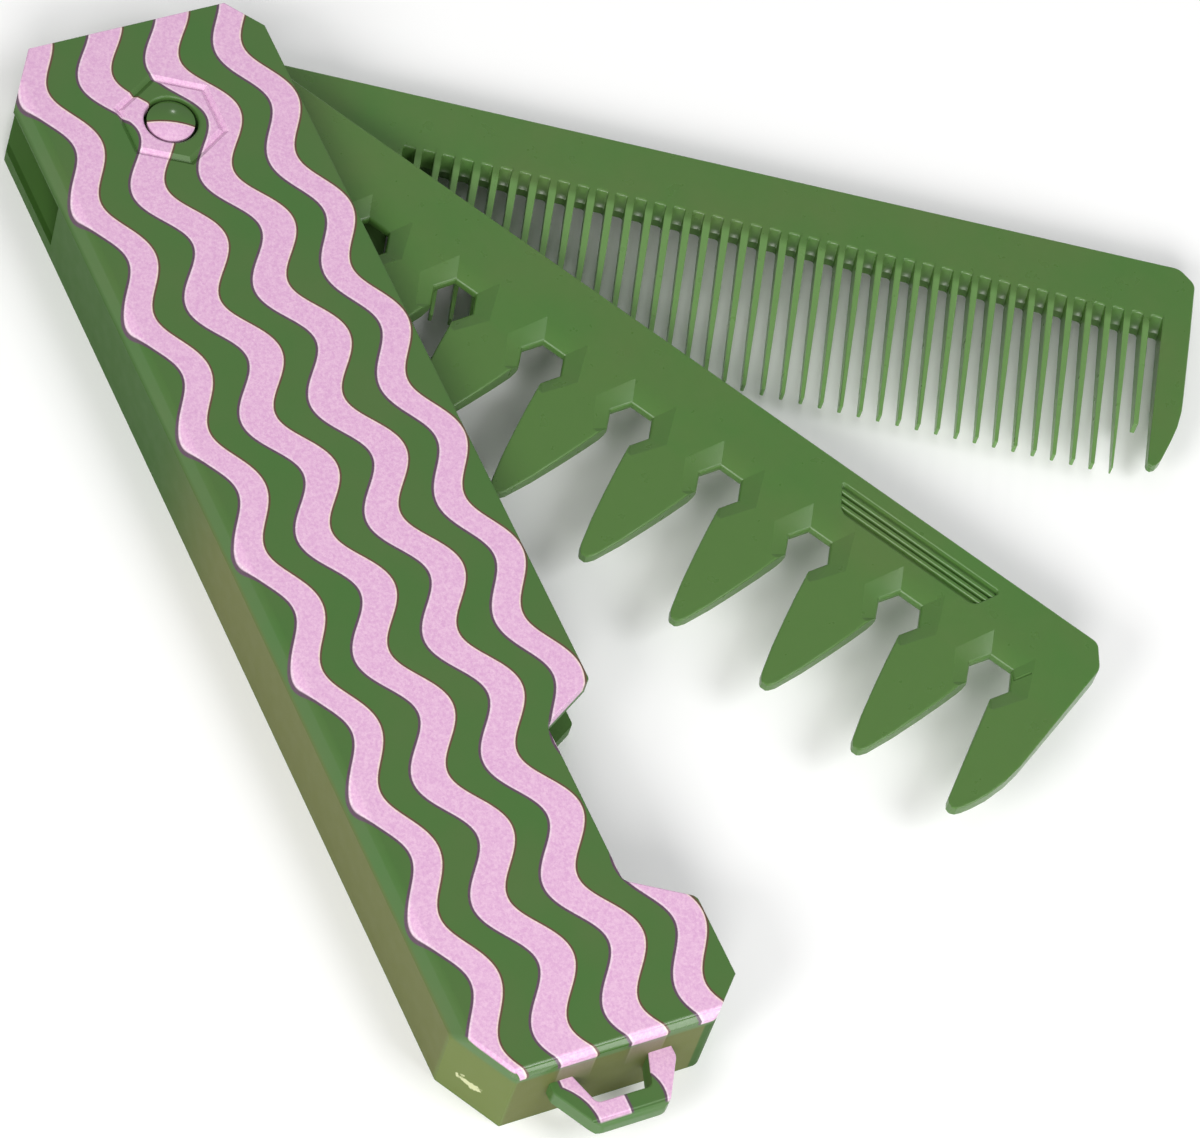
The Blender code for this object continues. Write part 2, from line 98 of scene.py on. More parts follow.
# Room for the blades between the covers
CAVITY = (1.5, 7.35)
SIDE_WALL_INNER = -11.4
SIDE_WALL_START = 5.2
END_WALL_RADIUS = 99.4
END_WALL_LOW = -8.55
END_WALL_HIGH = 10.4
CORNER_WALL_START = 94.8
SECTOR_DEPTH = 12.0
CAVITY_END = 98.85

# Hexagonal groove round the rivet, and the rivet's seat
GROOVE_REACH = 4.9
GROOVE_HALF_WIDTH = 0.5
GROOVE_DEPTH = 0.36
SEAT_FLOOR = 0.8
SEAT_RADIUS = 2.3
HEAD_HOLE = 2.55
HOLE_ROUNDING = 0.3

# Key-ring loop
LOOP_LOW = (100.3, -5.85, 2.95)
LOOP_HIGH = (106.2, 5.85, 5.6)
LOOP_CUTS = [((102.1, -5.85), (106.2, -3.4)), ((106.2, 3.4), (102.1, 5.85))]
LOOP_HOLE_END = 104.05
LOOP_HOLE_SIDES = [((99.0, -4.31), (104.05, -2.6)), ((104.05, 2.6), (99.0, 4.31))]
LOOP_CORNERS = [(102.1, 5.85, 0.25), (106.2, 3.4, 0.75)]
LOOP_HOLE_ROUNDING = 0.4
LOOP_EDGE = 1.0

# Rivet: radius and height along its outside, from the foot up to the start of the dome
RIVET_SHANK = 2.0
RIVET_HEAD = 2.25
RIVET_FOOT = 1.1
RIVET_NECK = 7.4
RIVET_RIM = 9.0
RIVET_CROWN = 9.45
DOME_STEPS = 7

# Both blades
BLADE_HALF = 1.235
SPINE = 13.15
SPINE_START = 2.5
HEEL_RADIUS = 10.8
BORE_RADIUS = 2.3
THROUGH = 3.0
BELOW = -13.5

# Wide comb: a gap's half widths at their t, from its top down between two teeth
WIDE_MIDDLE = 5.785
WIDE_REST_ANGLE = 30.475
WIDE_END = 98.05
WIDE_TIP = -10.9
WIDE_FIRST_GAP = 90.7
WIDE_PITCH = 10.05
WIDE_GAPS = 8
GAP_TOP = 5.73
GAP_WAIST = 3.75
GAP_HALF = [(1.15, GAP_TOP), (2.17, GAP_WAIST)]
GAP_BELOW = [
    (1.285, 1.9), (1.895, -1.2), (2.525, -4.0), (3.305, -7.2), (4.175, -10.1), (4.525, -10.7),
    (4.8, -10.95), (4.8, BELOW),
]
WIDE_GUARD = [
    (91.985, 1.9), (93.45, -4.0), (94.85, -9.5), (95.15, -9.98), (95.65, -10.17), (96.05, -9.98),
    (96.4, -9.45), (96.85, -8.45), (97.4, -6.9), (97.85, -4.7), (98.05, -2.4), (99.0, -2.4),
]
WIDE_END_CUT = ((98.05, 10.9), (96.4, SPINE))
END_ROUNDING = 0.5
TAPER_START = 8.0
TAPER_LEFT = 0.445
HEEL_FLAT = 11.5
HEEL_BLEND = 15.0
FLANK_ROUNDING = 0.28

# Countersink round a gap of the wide comb: its waist at the lip, and how far it opens per height
SINK_CENTRE = 3.8
SINK_LIP = 0.42
SINK_TOP = 1.315
SINK_RISE = 0.79
LIP_ROUNDING = 0.25

# Moulding mark beside the first gap: its three points
TICK = [(91.95, 5.62, 0.46), (92.62, 4.95, 0.56), (93.42, 6.15, 1.07)]
TICK_WIDTH = 0.22

# Ribbed thumb grip: its t, depth, ends and their skew, its floor's share, and its ribs
GRIP_LOW = 8.6
GRIP_HIGH = 11.6
GRIP_DEPTH = 0.45
GRIP_LEFT = 68.8
GRIP_RIGHT = 86.75
GRIP_LEFT_SKEW = 0.62
GRIP_RIGHT_SKEW = -0.4
GRIP_CORNER = 0.6
GRIP_FLOOR = (0.975, 0.84)
GRIP_RIBS = (10.76, 10.06, 9.36)
RIB_HALF = 0.25
RIB_HEIGHT = 0.38
RIB_CROWN = 0.8
RIM_ROUNDING = 0.12

# Fine comb: widths of a gap at its root and at BELOW, and how far its root steps back with height
FINE_MIDDLE = 3.03
FINE_REST_ANGLE = 58.066
FINE_END = 97.85
FINE_TIP = -10.98
FINE_FIRST_GAP = 94.42
FINE_PITCH = 1.85
FINE_GAPS = 40
FINE_GAP_TOP = 1.22
FINE_GAP_BELOW = 1.54
FINE_LEAN = 0.18
FINE_ROOT = 5.98
FINE_ROOT_CORNER = 0.3
FINE_ROOT_STEPS = [(-0.3, 0.12), (0.02, 0.44), (1.05, 0.93), (BLADE_HALF, 1.12)]
FINE_GUARD_INNER = 95.1
FINE_GUARD = [
    (94.9, -9.3), (95.1, -9.3), (95.22, -9.65), (95.55, -9.8), (95.95, -9.55), (96.3, -9.0),
    (96.7, -7.8), (97.15, -6.4), (97.55, -4.9), (97.8, -3.0), (97.85, -1.0), (99.0, -1.0),
]
FINE_END_CUT = ((97.85, 11.7), (96.2, SPINE))
FINE_TAPER_START = 5.9
FINE_TAPER_LEFT = 0.405
SHORT_TOOTH_TIP = -5.6
SHORT_TOOTH_CUT = (-0.6, 0.85)
POINTED_TOOTH = 0.5
FINE_TIP_ROUNDING = 0.1
TOOTH_ROUNDING = 0.1

# Printed waves: y of each stripe's middle line, half its width, and how far it swings
STRIPES = [(-9.85, 1.46, 1.34), (-3.45, 1.775, 1.625), (3.27, 1.77, 1.625), (9.62, 1.5, 1.38)]
STRIPE_NECKING = 0.0525
STRIPE_SWING = 1.5
STRIPE_PITCH = 6.49
PRINT_FOOT = 8.0

# The print's edge on the rivet's head: its direction, and a point on it
RIVET_PRINT = (0.4, 0.917)
RIVET_PRINT_START = (-0.35, -1.7, 0.0)

# Zones of the case's plastic, each from where it starts to where it is full
WALL_TOP = (8.0, 7.5)
END_WALL = (101.0, 101.05)
POLISH_START = (100.45, 100.65)
POLISH_FOOT = (8.35, 8.5)
MOUTH_CORNER = (8.7, 8.5)
SIDE_WALL = (-12.4, -12.5)
END_SIDE = (100.5, 100.6)
WALL_FOOT = (0.02, 0.1)
# Painted shade: the walls are painted their darker colour at x below this zone, and past the mouth
# corner's y
FAR_WALL_SHADE = (29.0, 47.0)
TOP_SHINE = 0.42
WALL_SHINE = 0.15
POLISH_SHINE = 0.24

# Haze of ink on the end wall: where it starts, its share at the print's foot, and its half width
HAZE_FOOT = 4.5
HAZE_SHARE = 0.16
HAZE_HALF_WIDTH = 6.0

# Pale, glossier patch on the near corner's wall: its middle, its reach along and up it, and its
# ragged edge
PATCH_MIDDLE = (97.7, -11.5, 3.0)
PATCH_REACH = (1.35, 0.75)
PATCH_SCALE = 1.6
PATCH_RAGGED = 2.4
PATCH_EDGE = (2.05, 1.75)

# Print's edge on the loop's arms: y at the bar, how far it bends or bows, how sharply, and where
LOOP_LEFT_PRINT = (-3.2, -1.8, 2.6)
LOOP_LEFT_BEND = 101.8
LOOP_RIGHT_PRINT = (3.4, -0.35)
LOOP_BOW = (103.2, 106.2)

# Studio, in metres and degrees
LIGHT_AIM = (0.05, 0.02, 0.0)
LIGHT_DISTANCE = 0.9
CAMERA_PLACE = (0.29941, -0.19178, 0.47016)
CAMERA_TURN = (33.220, -11.194, 65.633)

# Plastic: patches per millimetre of its flow marks, gloss, pebble and speckled ink, and its IOR
FLOW_SCALE = 0.1
GLOSS_SCALE = 0.6
PEBBLE_SCALE = 5.0
PEBBLE_HEIGHT = 0.005
SPECKLE_SCALE = 3.6
ABS_IOR = 1.53
ACETAL_IOR = 1.48
PAPER_IOR = 1.45


class CaseSettings(bpy.types.PropertyGroup):
    """Finish of the case."""

    edge_rounding: bpy.props.FloatProperty(
        name="Edge rounding", description="Radius on the moulded edges of the case",
        default=0.14 * MM, min=0.05 * MM, max=0.2 * MM, precision=5, unit="LENGTH")
    colour: bpy.props.StringProperty(
        name="Plastic", description="Colour of the moulded plastic, as an sRGB hex value",
        default="476A33")
    # Painted reflection: the walls near the loop are painted a warm olive for a warm surrounding
    # reflected in them
    wall_painted_reflection_colour: bpy.props.StringProperty(
        name="Walls", description="Colour of the plastic on the walls, as an sRGB hex value",
        default="62683A")
    # Painted light: the near corner's wall is painted a lighter, greener copy of the wall colour,
    # where more light falls on it
    corner_painted_light_colour: bpy.props.StringProperty(
        name="Near corner", description="Colour of the near corner's wall, as an sRGB hex value",
        default="66743F")
    # Painted shade: the side wall far from the loop and the end wall beside the mouth are painted
    # this darker green
    far_wall_painted_shade_colour: bpy.props.StringProperty(
        name="Far walls", description="Colour of the walls far from the loop, as an sRGB hex value",
        default="365822")
    # A pale cream, glossier patch painted on the near corner's wall
    patch_colour: bpy.props.StringProperty(
        name="Pale patch", description="Colour of the scuff on a corner, as an sRGB hex value",
        default="C3C79A")
    roughness: bpy.props.FloatProperty(
        name="Roughness", description="Roughness of the moulded case",
        default=0.38, min=0.0, max=1.0, subtype="FACTOR")
    rivet_roughness: bpy.props.FloatProperty(
        name="Rivet roughness", description="Roughness of the rivet's polished head",
        default=0.14, min=0.0, max=1.0, subtype="FACTOR")


class PrintSettings(bpy.types.PropertyGroup):
    """Waves that are printed on the case."""

    wave_length: bpy.props.FloatProperty(
        name="Wave length", description="Distance from one crest to the next",
        default=13.0 * MM, min=2.0 * MM, precision=4, unit="LENGTH")
    crest: bpy.props.FloatProperty(
        name="Crest", description="Distance from the rivet's axis to the first crest",
        default=0.58 * MM, precision=5, unit="LENGTH")
    ink: bpy.props.StringProperty(
        name="Ink", description="Colour of the printed waves, as an sRGB hex value",
        default="DDB3D2")
    rim: bpy.props.StringProperty(
        name="Light rim", default="E6CCDC",
        description="Colour just inside a wave's lower edge, as an sRGB hex value")
    line: bpy.props.StringProperty(
        name="Dark line", description="Colour along a wave's lower edge, as an sRGB hex value",
        default="5A4455")
    upper_rim: bpy.props.StringProperty(
        name="Upper rim", default="E9D2CC",
        description="Colour just inside a wave's upper edge, as an sRGB hex value")
    upper_line: bpy.props.StringProperty(
        name="Upper line", description="Colour along a wave's upper edge, as an sRGB hex value",
        default="5E4434")


class BladeSettings(bpy.types.PropertyGroup):
    """Finish of both blades."""

    edge_rounding: bpy.props.FloatProperty(
        name="Edge rounding", description="Radius on the moulded edges of the blades",
        default=0.2 * MM, min=0.05 * MM, max=0.3 * MM, precision=5, unit="LENGTH")
    colour: bpy.props.StringProperty(
        name="Plastic", description="Colour of the blades, as an sRGB hex value",
        default="4F7237")
    roughness: bpy.props.FloatProperty(
        name="Roughness", description="Roughness of the moulded blades",
        default=0.3, min=0.0, max=1.0, subtype="FACTOR")
    # Painted light: the fine teeth below their root are painted this lighter green, for light that
    # passes through them
    teeth_painted_light_colour: bpy.props.StringProperty(
        name="Thin teeth", description="Colour of the fine teeth, as an sRGB hex value",
        default="648A4C")
    depth: bpy.props.FloatProperty(
        name="Translucency", description="Share of the light that passes into the plastic",
        default=0.2, min=0.0, max=1.0, subtype="FACTOR")


class StudioSettings(bpy.types.PropertyGroup):
    """Floor, lights and camera."""

    floor_colour: bpy.props.StringProperty(
        name="Floor", description="Colour of the floor, as an sRGB hex value", default="FCFCFC")
    lens: bpy.props.FloatProperty(
        name="Lens", description="Focal length of the camera, on a 36 mm sensor, in millimetres",
        default=189.6, min=20.0, max=400.0)
    key_power: bpy.props.FloatProperty(
        name="Key light", description="Power of the large soft light, in watts",
        default=6.7, min=0.0)
    fill_power: bpy.props.FloatProperty(
        name="Fill light", description="Power of the soft light from the other side, in watts",
        default=2.7, min=0.0)
    low_power: bpy.props.FloatProperty(
        name="Low light", description="Power of the low light at the loop's end, in watts",
        default=0.8, min=0.0)
    catch_power: bpy.props.FloatProperty(
        name="Catch light", default=0.15, min=0.0,
        description="Power of the small light that glints on the rivet, in watts")
    sky: bpy.props.FloatProperty(
        name="Sky", description="Strength of the even light from all round", default=0.4, min=0.0)


class CombSettings(bpy.types.PropertyGroup):
    """All settings of the comb."""

    case: bpy.props.PointerProperty(type=CaseSettings)
    prints: bpy.props.PointerProperty(type=PrintSettings)
    blades: bpy.props.PointerProperty(type=BladeSettings)
    studio: bpy.props.PointerProperty(type=StudioSettings)


def linear(hex_colour):
    """Turn an sRGB hex value into a linear colour with alpha."""
    channels = [int(hex_colour[i:i + 2], 16) / 255 for i in (0, 2, 4)]
    channels = [c / 12.92 if c <= 0.04045 else ((c + 0.055) / 1.055) ** 2.4 for c in channels]
    return (*channels, 1.0)


def add_node(tree, kind, links, **settings):
    """Add a node with its settings, give each input a value or the socket that feeds it, and
    return its outputs."""
    node = tree.nodes.new("ShaderNode" + kind)
    for name, value in settings.items():
        setattr(node, name, value)
    for socket, value in links.items():
        if isinstance(value, bpy.types.NodeSocket):
            tree.links.new(value, node.inputs[socket])
        else:
            node.inputs[socket].default_value = value
    return node.outputs


def select_only(thing):
    """Leave one object selected and active, in object mode."""
    if bpy.context.object is not None and bpy.context.object.mode != "OBJECT":
        bpy.ops.object.mode_set(mode="OBJECT")
    bpy.ops.object.select_all(action="DESELECT")
    thing.select_set(True)
    bpy.context.view_layer.objects.active = thing


def edit_all(thing):
    """Open a mesh for editing, with all of it selected."""
    select_only(thing)
    bpy.ops.object.mode_set(mode="EDIT")
    bpy.ops.mesh.select_all(action="SELECT")


def leave_edit():
    """Close a mesh after editing."""
    bpy.ops.object.mode_set(mode="OBJECT")


def shift(thing, x=0.0, y=0.0, z=0.0):
    """Move the points of a mesh by millimetres."""
    thing.data.transform(Matrix.Translation((x * MM, y * MM, z * MM)))


def pick(thing, kind, test):
    """Open a mesh for editing, and select the corners, edges or faces whose ends pass a test."""
    select_only(thing)
    mesh = thing.data
    kinds = ("vertices", "edges", "polygons")
    bpy.context.tool_settings.mesh_select_mode = [kind == name for name in kinds]
    for name in kinds:
        group = getattr(mesh, name)
        group.foreach_set("select", [False] * len(group))
    places = [vertex.co / MM for vertex in mesh.vertices]
    count = 0
    for item in getattr(mesh, kind):
        ends = [places[item.index]] if kind == "vertices" else [places[i] for i in item.vertices]
        item.select = test(ends)
        count += item.select
    if count == 0:
        raise RuntimeError(f"{thing.name}: no {kind} there to edit")
    bpy.ops.object.mode_set(mode="EDIT")


def near(value, target, room=0.01):
    """Whether a measure is where it should be."""
    return abs(value - target) < room


def at(room=0.01, **places):
    """Test that passes where every end lies at the places given for x, y or z."""
    return lambda ends: all(
        near(getattr(p, axis), place, room) for p in ends for axis, place in places.items())


def extrude(x=0.0, y=0.0, z=0.0):
    """Draw out what is selected by millimetres."""
    bpy.ops.mesh.extrude_region_move(TRANSFORM_OT_translate={"value": (x * MM, y * MM, z * MM)})


def stretch(x=1.0, y=1.0, middle=(0.0, 0.0)):
    """Scale what is selected along x and y, about a middle in millimetres."""
    bpy.ops.transform.resize(value=(x, y, 1), center_override=(middle[0] * MM, middle[1] * MM, 0))


def add_box(name, low, high):
    """Box between two corners."""
    bpy.ops.object.select_all(action="DESELECT")
    centre = [(a + b) / 2 * MM for a, b in zip(low, high)]
    size = [(b - a) * MM for a, b in zip(low, high)]
    bpy.ops.mesh.primitive_cube_add(size=1, location=centre, scale=size)
    thing = bpy.context.object
    thing.name = name
    bpy.ops.object.transform_apply()
    return thing


def add_cylinder(name, radius, low, high, sides=64):
    """Upright cylinder on the rivet's axis."""
    bpy.ops.object.select_all(action="DESELECT")
    bpy.ops.mesh.primitive_cylinder_add(
        vertices=sides, radius=radius * MM, depth=(high - low) * MM,
        location=(0, 0, (low + high) / 2 * MM))
    thing = bpy.context.object
    thing.name = name
    bpy.ops.object.transform_apply()
    return thing


def cut(thing, point, normal, remove=True):
    """Cut a mesh with a plane. What lies on the normal's side goes, and the cut is closed."""
    edit_all(thing)
    bpy.ops.mesh.bisect(
        plane_co=[value * MM for value in point], plane_no=Vector(normal).normalized(),
        use_fill=remove, clear_outer=remove, threshold=1e-7)
    leave_edit()


def cut_along(thing, line):
    """Cut a mesh upright through two points seen from above. What lies right of the line goes."""
    (x0, y0), (x1, y1) = line
    cut(thing, (x0, y0, 0), (y1 - y0, x0 - x1, 0))


def combine(thing, tool, operation="DIFFERENCE"):
    """Cut a tool out of a piece, or join it on, and take the tool away."""
    select_only(thing)
    bpy.ops.object.modifier_add(type="BOOLEAN")
    step = thing.modifiers[-1]
    step.operation = operation
    step.solver = "EXACT"
    step.object = tool
    bpy.ops.object.modifier_apply(modifier=step.name)
    bpy.data.objects.remove(tool)
    weld(thing)


def weld(thing):
    """Merge the points of a mesh that lie on each other."""
    edit_all(thing)
    bpy.ops.mesh.remove_doubles(threshold=MERGE * MM)
    leave_edit()


def round_edges(thing, test, reach, segments):
    """Round the edges whose ends all pass a test."""
    pick(thing, "edges", test)
    bpy.ops.mesh.bevel(offset=reach * MM, offset_type="OFFSET", segments=segments, affect="EDGES")
    leave_edit()


def merge_flats(thing, angle=0.15):
    """Merge the faces of a mesh that lie in one plane."""
    weld(thing)
    edit_all(thing)
    bpy.ops.mesh.dissolve_limited(angle_limit=math.radians(angle))
    leave_edit()


def shade(thing):
    """Shade a piece smooth over its roundings and flat on its faces."""
    select_only(thing)
    bpy.ops.object.shade_smooth_by_angle(angle=math.radians(SMOOTH_ANGLE))
    bpy.ops.object.modifier_add(type="WEIGHTED_NORMAL")
    step = thing.modifiers[-1]
    step.keep_sharp = True
    bpy.ops.object.modifier_apply(modifier=step.name)


def turn(thing, degrees):
    """Turn a blade about the rivet's axis to where it lies, and keep the turn in its mesh."""
    select_only(thing)
    thing.rotation_euler.z = math.radians(degrees)
    bpy.ops.object.transform_apply()


def copy_along(tool, count, step):
    """Copy a tool in a row along -X, each with its own mesh, and join the row."""
    copies = [tool]
    for i in range(1, count):
        twin = tool.copy()
        twin.data = tool.data.copy()
        bpy.context.scene.collection.objects.link(twin)
        shift(twin, -step * i)
        copies.append(twin)
    select_only(tool)
    for twin in copies:
        twin.select_set(True)
    bpy.ops.object.join()
    return tool


def sector(name, radius, low_y, high_y, heights):
    """Slice of a round disc about the rivet's axis, spun from one flat section."""
    first = math.asin(low_y / radius)
    last = math.asin(high_y / radius)
    inner = radius - SECTOR_DEPTH
    bpy.ops.object.select_all(action="DESELECT")
    bpy.ops.mesh.primitive_plane_add(
        size=1, location=((radius + inner) / 2 * MM, 0, sum(heights) / 2 * MM),
        rotation=(math.pi / 2, 0, 0))
    thing = bpy.context.object
    thing.name = name
    thing.scale = ((radius - inner) * MM, (heights[1] - heights[0]) * MM, 1)
    bpy.ops.object.transform_apply()
    turn(thing, math.degrees(first))
    edit_all(thing)
    bpy.ops.mesh.spin(steps=24, angle=last - first, center=(0, 0, 0), axis=(0, 0, -1))
    bpy.ops.mesh.select_all(action="SELECT")
    bpy.ops.mesh.remove_doubles(threshold=1e-7)
    bpy.ops.mesh.normals_make_consistent(inside=False)
    leave_edit()
    return thing


def hollow_case(case):
    """Open the cavity between the covers, out to the mouth, the far end and the side's start."""
    low, high = CAVITY
    room = add_box("cavity_main", (-20.0, SIDE_WALL_INNER, low), (CAVITY_END, 18.0, high))
    end_x = math.sqrt(END_WALL_RADIUS ** 2 - END_WALL_LOW ** 2)
    cut_along(room, ((CORNER_WALL_START, SIDE_WALL_INNER), (end_x, END_WALL_LOW)))
    combine(case, room)
    combine(case, sector("cavity_end", END_WALL_RADIUS, END_WALL_LOW, END_WALL_HIGH, CAVITY))
    combine(case, add_box("cavity_mouth", (97.0, END_WALL_HIGH, low), (107.0, 18.0, high)))
    combine(case, add_box("cavity_side", (-20.0, -19.0, low), (SIDE_WALL_START, -10.0, high)))


def key_loop(rounding):
    """Key-ring loop: a flat bar with slanted ends, its hole and its rounded corners."""
    loop = add_box("loop_tool", LOOP_LOW, LOOP_HIGH)
    for line in LOOP_CUTS:
        cut_along(loop, line)
    for x, y, reach in LOOP_CORNERS:
        round_edges(loop, lambda ends: all(
            near(p.x, x, 0.05) and near(abs(p.y), y, 0.05) for p in ends), reach, 4)
    edge = LOOP_LOW[2] + LOOP_EDGE
    for (x, y), outward in (
        ((LOOP_HIGH[0], 0), (1, 0)), ((0, LOOP_HIGH[1]), (0, 1)), ((0, LOOP_LOW[1]), (0, -1)),
        *((line[0], (line[1][1] - line[0][1], line[0][0] - line[1][0])) for line in LOOP_CUTS),
    ):
        length = math.hypot(*outward)
        cut(loop, (x, y, edge), (outward[0] / length, outward[1] / length, -1))
    hole = add_box("loop_hole", (99.0, -6.0, 0.0), (LOOP_HOLE_END, 6.0, 9.0))
    for line in LOOP_HOLE_SIDES:
        cut_along(hole, line)
    round_edges(hole, lambda ends: at(x=LOOP_HOLE_END)(ends) and near(ends[0].y, ends[1].y),
        LOOP_HOLE_ROUNDING, 3)
    combine(loop, hole)
    merge_flats(loop)
    round_edges(loop, at(z=LOOP_HIGH[2]), rounding, 2)
    return loop


def on_rim(ends):
    """Whether an edge of the case lies on the rim of the top, away from the bevelled sides."""
    middle = (ends[0] + ends[1]) / 2
    if not at(z=TOP)(ends):
        return False
    if near(middle.y, CASE_HIGH[1]) or near(middle.x, CASE_LOW[0]) or near(middle.y, NOTCH_FLOOR):
        return True
    if near(ends[0].y, ends[1].y) or near(ends[0].x, ends[1].x):
        return False
    return middle.y > 0 or middle.x < 0


def case_shape(rounding):
    """The whole case as one moulding."""
    case = add_box("case_moulding", CASE_LOW, CASE_HIGH)
    for line in CORNER_CUTS:
        cut_along(case, line)
    notch = add_box("notch_tool", (65.0, NOTCH_FLOOR, -1.0), (92.0, 16.0, TOP + 1))
    for line in NOTCH_SIDES:
        cut_along(notch, line)
    combine(case, notch)
    for x, y, reach in ROUNDED_CORNERS:
        round_edges(case, at(x=x, y=y), reach, 5)
    width, height = SIDE_BEVEL
    side_edge = CASE_LOW[1] + width
    cut(case, (0, side_edge, TOP), (0, -height, width))
    width, height = END_BEVEL
    end_edge = CASE_HIGH[0] - width
    cut(case, (end_edge, 0, TOP), (height, 0, width))
    side_rounding, end_rounding = TOP_ROUNDINGS
    round_edges(case, at(z=TOP, y=side_edge), side_rounding, 5)
    round_edges(case, at(z=TOP, x=end_edge), end_rounding, 5)
    round_edges(case, at(z=TOP - height, x=CASE_HIGH[0]), END_FOOT_ROUNDING, 4)
    (x0, y0), (x1, y1) = CORNER_CUTS[0]
    round_edges(case, lambda ends: all(
        p.z > TOP - SIDE_BEVEL[1] - 0.01
        and near((p.x - x0) * (y1 - y0), (p.y - y0) * (x1 - x0), 0.05) for p in ends)
        and not near(ends[0].x, ends[1].x, 0.001), NEAR_CORNER_EDGE, 2)
    round_edges(case, on_rim, rounding, 2)
    hollow_case(case)
    combine(case, add_cylinder("seat_tool", SEAT_RADIUS, SEAT_FLOOR, WIDE_MIDDLE))
    combine(case, add_cylinder("head_hole_tool", HEAD_HOLE, WIDE_MIDDLE, TOP + 1))
    round_edges(case, lambda ends: all(
        near(p.z, TOP) and near(math.hypot(p.x, p.y), HEAD_HOLE, 0.05) for p in ends),
        HOLE_ROUNDING, 5)
    combine(case, hexagon_groove())
    combine(case, key_loop(rounding), "UNION")
    merge_flats(case)
    return case


def hexagon_groove():
    """Six-sided ring with a diamond section, which sinks the groove round the rivet."""
    bpy.ops.object.select_all(action="DESELECT")
    bpy.ops.mesh.primitive_torus_add(
        major_segments=6, minor_segments=4, major_radius=GROOVE_REACH * MM,
        minor_radius=GROOVE_HALF_WIDTH * MM, location=(0, 0, 0))
    ring = bpy.context.object
    ring.name = "groove_tool"
    ring.scale = (1, 1, GROOVE_DEPTH / GROOVE_HALF_WIDTH)
    ring.location = (0, 0, TOP * MM)
    bpy.ops.object.transform_apply()
    return ring


def rivet_shape():
    """Rivet: a straight shank, a wider head and a low dome drawn up ring by ring."""
    rivet = add_cylinder("rivet_pin", RIVET_SHANK, RIVET_FOOT, RIVET_NECK, 72)
    pick(rivet, "polygons", at(z=RIVET_NECK))
    extrude()
    stretch(RIVET_HEAD / RIVET_SHANK, RIVET_HEAD / RIVET_SHANK)
    extrude(z=RIVET_RIM - RIVET_NECK)
    radius = RIVET_HEAD
    height = RIVET_RIM
    for i in range(1, DOME_STEPS):
        share = 1 - i / DOME_STEPS
        next_height = RIVET_RIM + (RIVET_CROWN - RIVET_RIM) * (1 - share * share)
        extrude(z=next_height - height)
        stretch(RIVET_HEAD * share / radius, RIVET_HEAD * share / radius)
        radius = RIVET_HEAD * share
        height = next_height
    bpy.ops.mesh.poke(offset=(RIVET_CROWN - height) * MM)
    leave_edit()
    merge_flats(rivet, 0.01)
    return rivet


def blade_blank(name, end, tip, end_cut, rounding):
    """Flat blank of a blade about its middle plane: a bored round heel drawn out to a straight bar,
    with a cut across its far corner and all its outline rounded but for the teeth's tips."""
    blank = add_cylinder(name, HEEL_RADIUS, -BLADE_HALF, BLADE_HALF, 72)
    bar = add_box("bar_tool", (SPINE_START, tip, -BLADE_HALF), (end, SPINE, BLADE_HALF))
    select_only(blank)
    bar.select_set(True)
    bpy.ops.object.join()
    edit_all(blank)
    bpy.ops.mesh.convex_hull()
    leave_edit()
    merge_flats(blank)
    cut_along(blank, end_cut)
    for x, y in end_cut:
        round_edges(blank, at(x=x, y=y), END_ROUNDING, 4)
    round_edges(blank, lambda ends: near(ends[0].z, ends[1].z) and not (
        all(p.y < tip + 0.5 for p in ends) and max(p.x for p in ends) > HEEL_BLEND), rounding, 3)
    combine(blank, add_cylinder("bore_tool", BORE_RADIUS, -THROUGH, THROUGH))
    return blank


def score(blade, start):
    """Give a blade the lines that its thinned part needs: along its start, and across the heel."""
    cut(blade, (0, start, 0), (0, 1, 0), remove=False)
    for place in (HEEL_FLAT, HEEL_BLEND):
        cut(blade, (place, 0, 0), (1, 0, 0), remove=False)


def draw_down(thing, half, top, steps):
    """Draw the lowest end of a tool down step by step, to a new half width at each t."""
    pick(thing, "polygons", at(y=top))
    for next_half, next_top in steps:
        extrude(y=next_top - top)
        stretch(next_half / half, middle=(0, next_top))
        half, top = next_half, next_top
    leave_edit()


def guard_tool(name, rows):
    """Tool that cuts round a guard tooth, drawn out along the blade with a stepped upper edge."""
    (start, top), *steps = rows
    tool = add_box(name, (start - 0.01, BELOW, -THROUGH), (start, top, THROUGH))
    pick(tool, "polygons", at(0.001, x=start))
    for place, next_top in steps:
        extrude(x=place - start)
        stretch(y=(next_top - BELOW) / (top - BELOW), middle=(0, BELOW))
        start, top = place, next_top
    leave_edit()
    return tool


def taper(thing, start, left, heel=None):
    """Thin a blade from its full thickness at a t down to a share of it at its lowest point."""
    select_only(thing)
    shift(thing, y=-start)
    low = min(vertex.co.y for vertex in thing.data.vertices)
    high = max(vertex.co.y for vertex in thing.data.vertices)
    bpy.ops.object.modifier_add(type="SIMPLE_DEFORM")
    step = thing.modifiers[-1]
    step.deform_method = "TAPER"
    step.deform_axis = "Y"
    step.lock_x = True
    step.factor = 1 - left
    step.limits = (0, -low / (high - low))
    if heel is not None:
        group = thing.vertex_groups.new(name="thinned")
        for vertex in thing.data.vertices:
            share = (vertex.co.x / MM - heel[0]) / (heel[1] - heel[0])
            group.add([vertex.index], min(1.0, max(0.0, share)), "REPLACE")
        step.vertex_group = group.name
    bpy.ops.object.modifier_apply(modifier=step.name)
    if heel is not None:
        thing.vertex_groups.remove(thing.vertex_groups["thinned"])
    shift(thing, y=start)


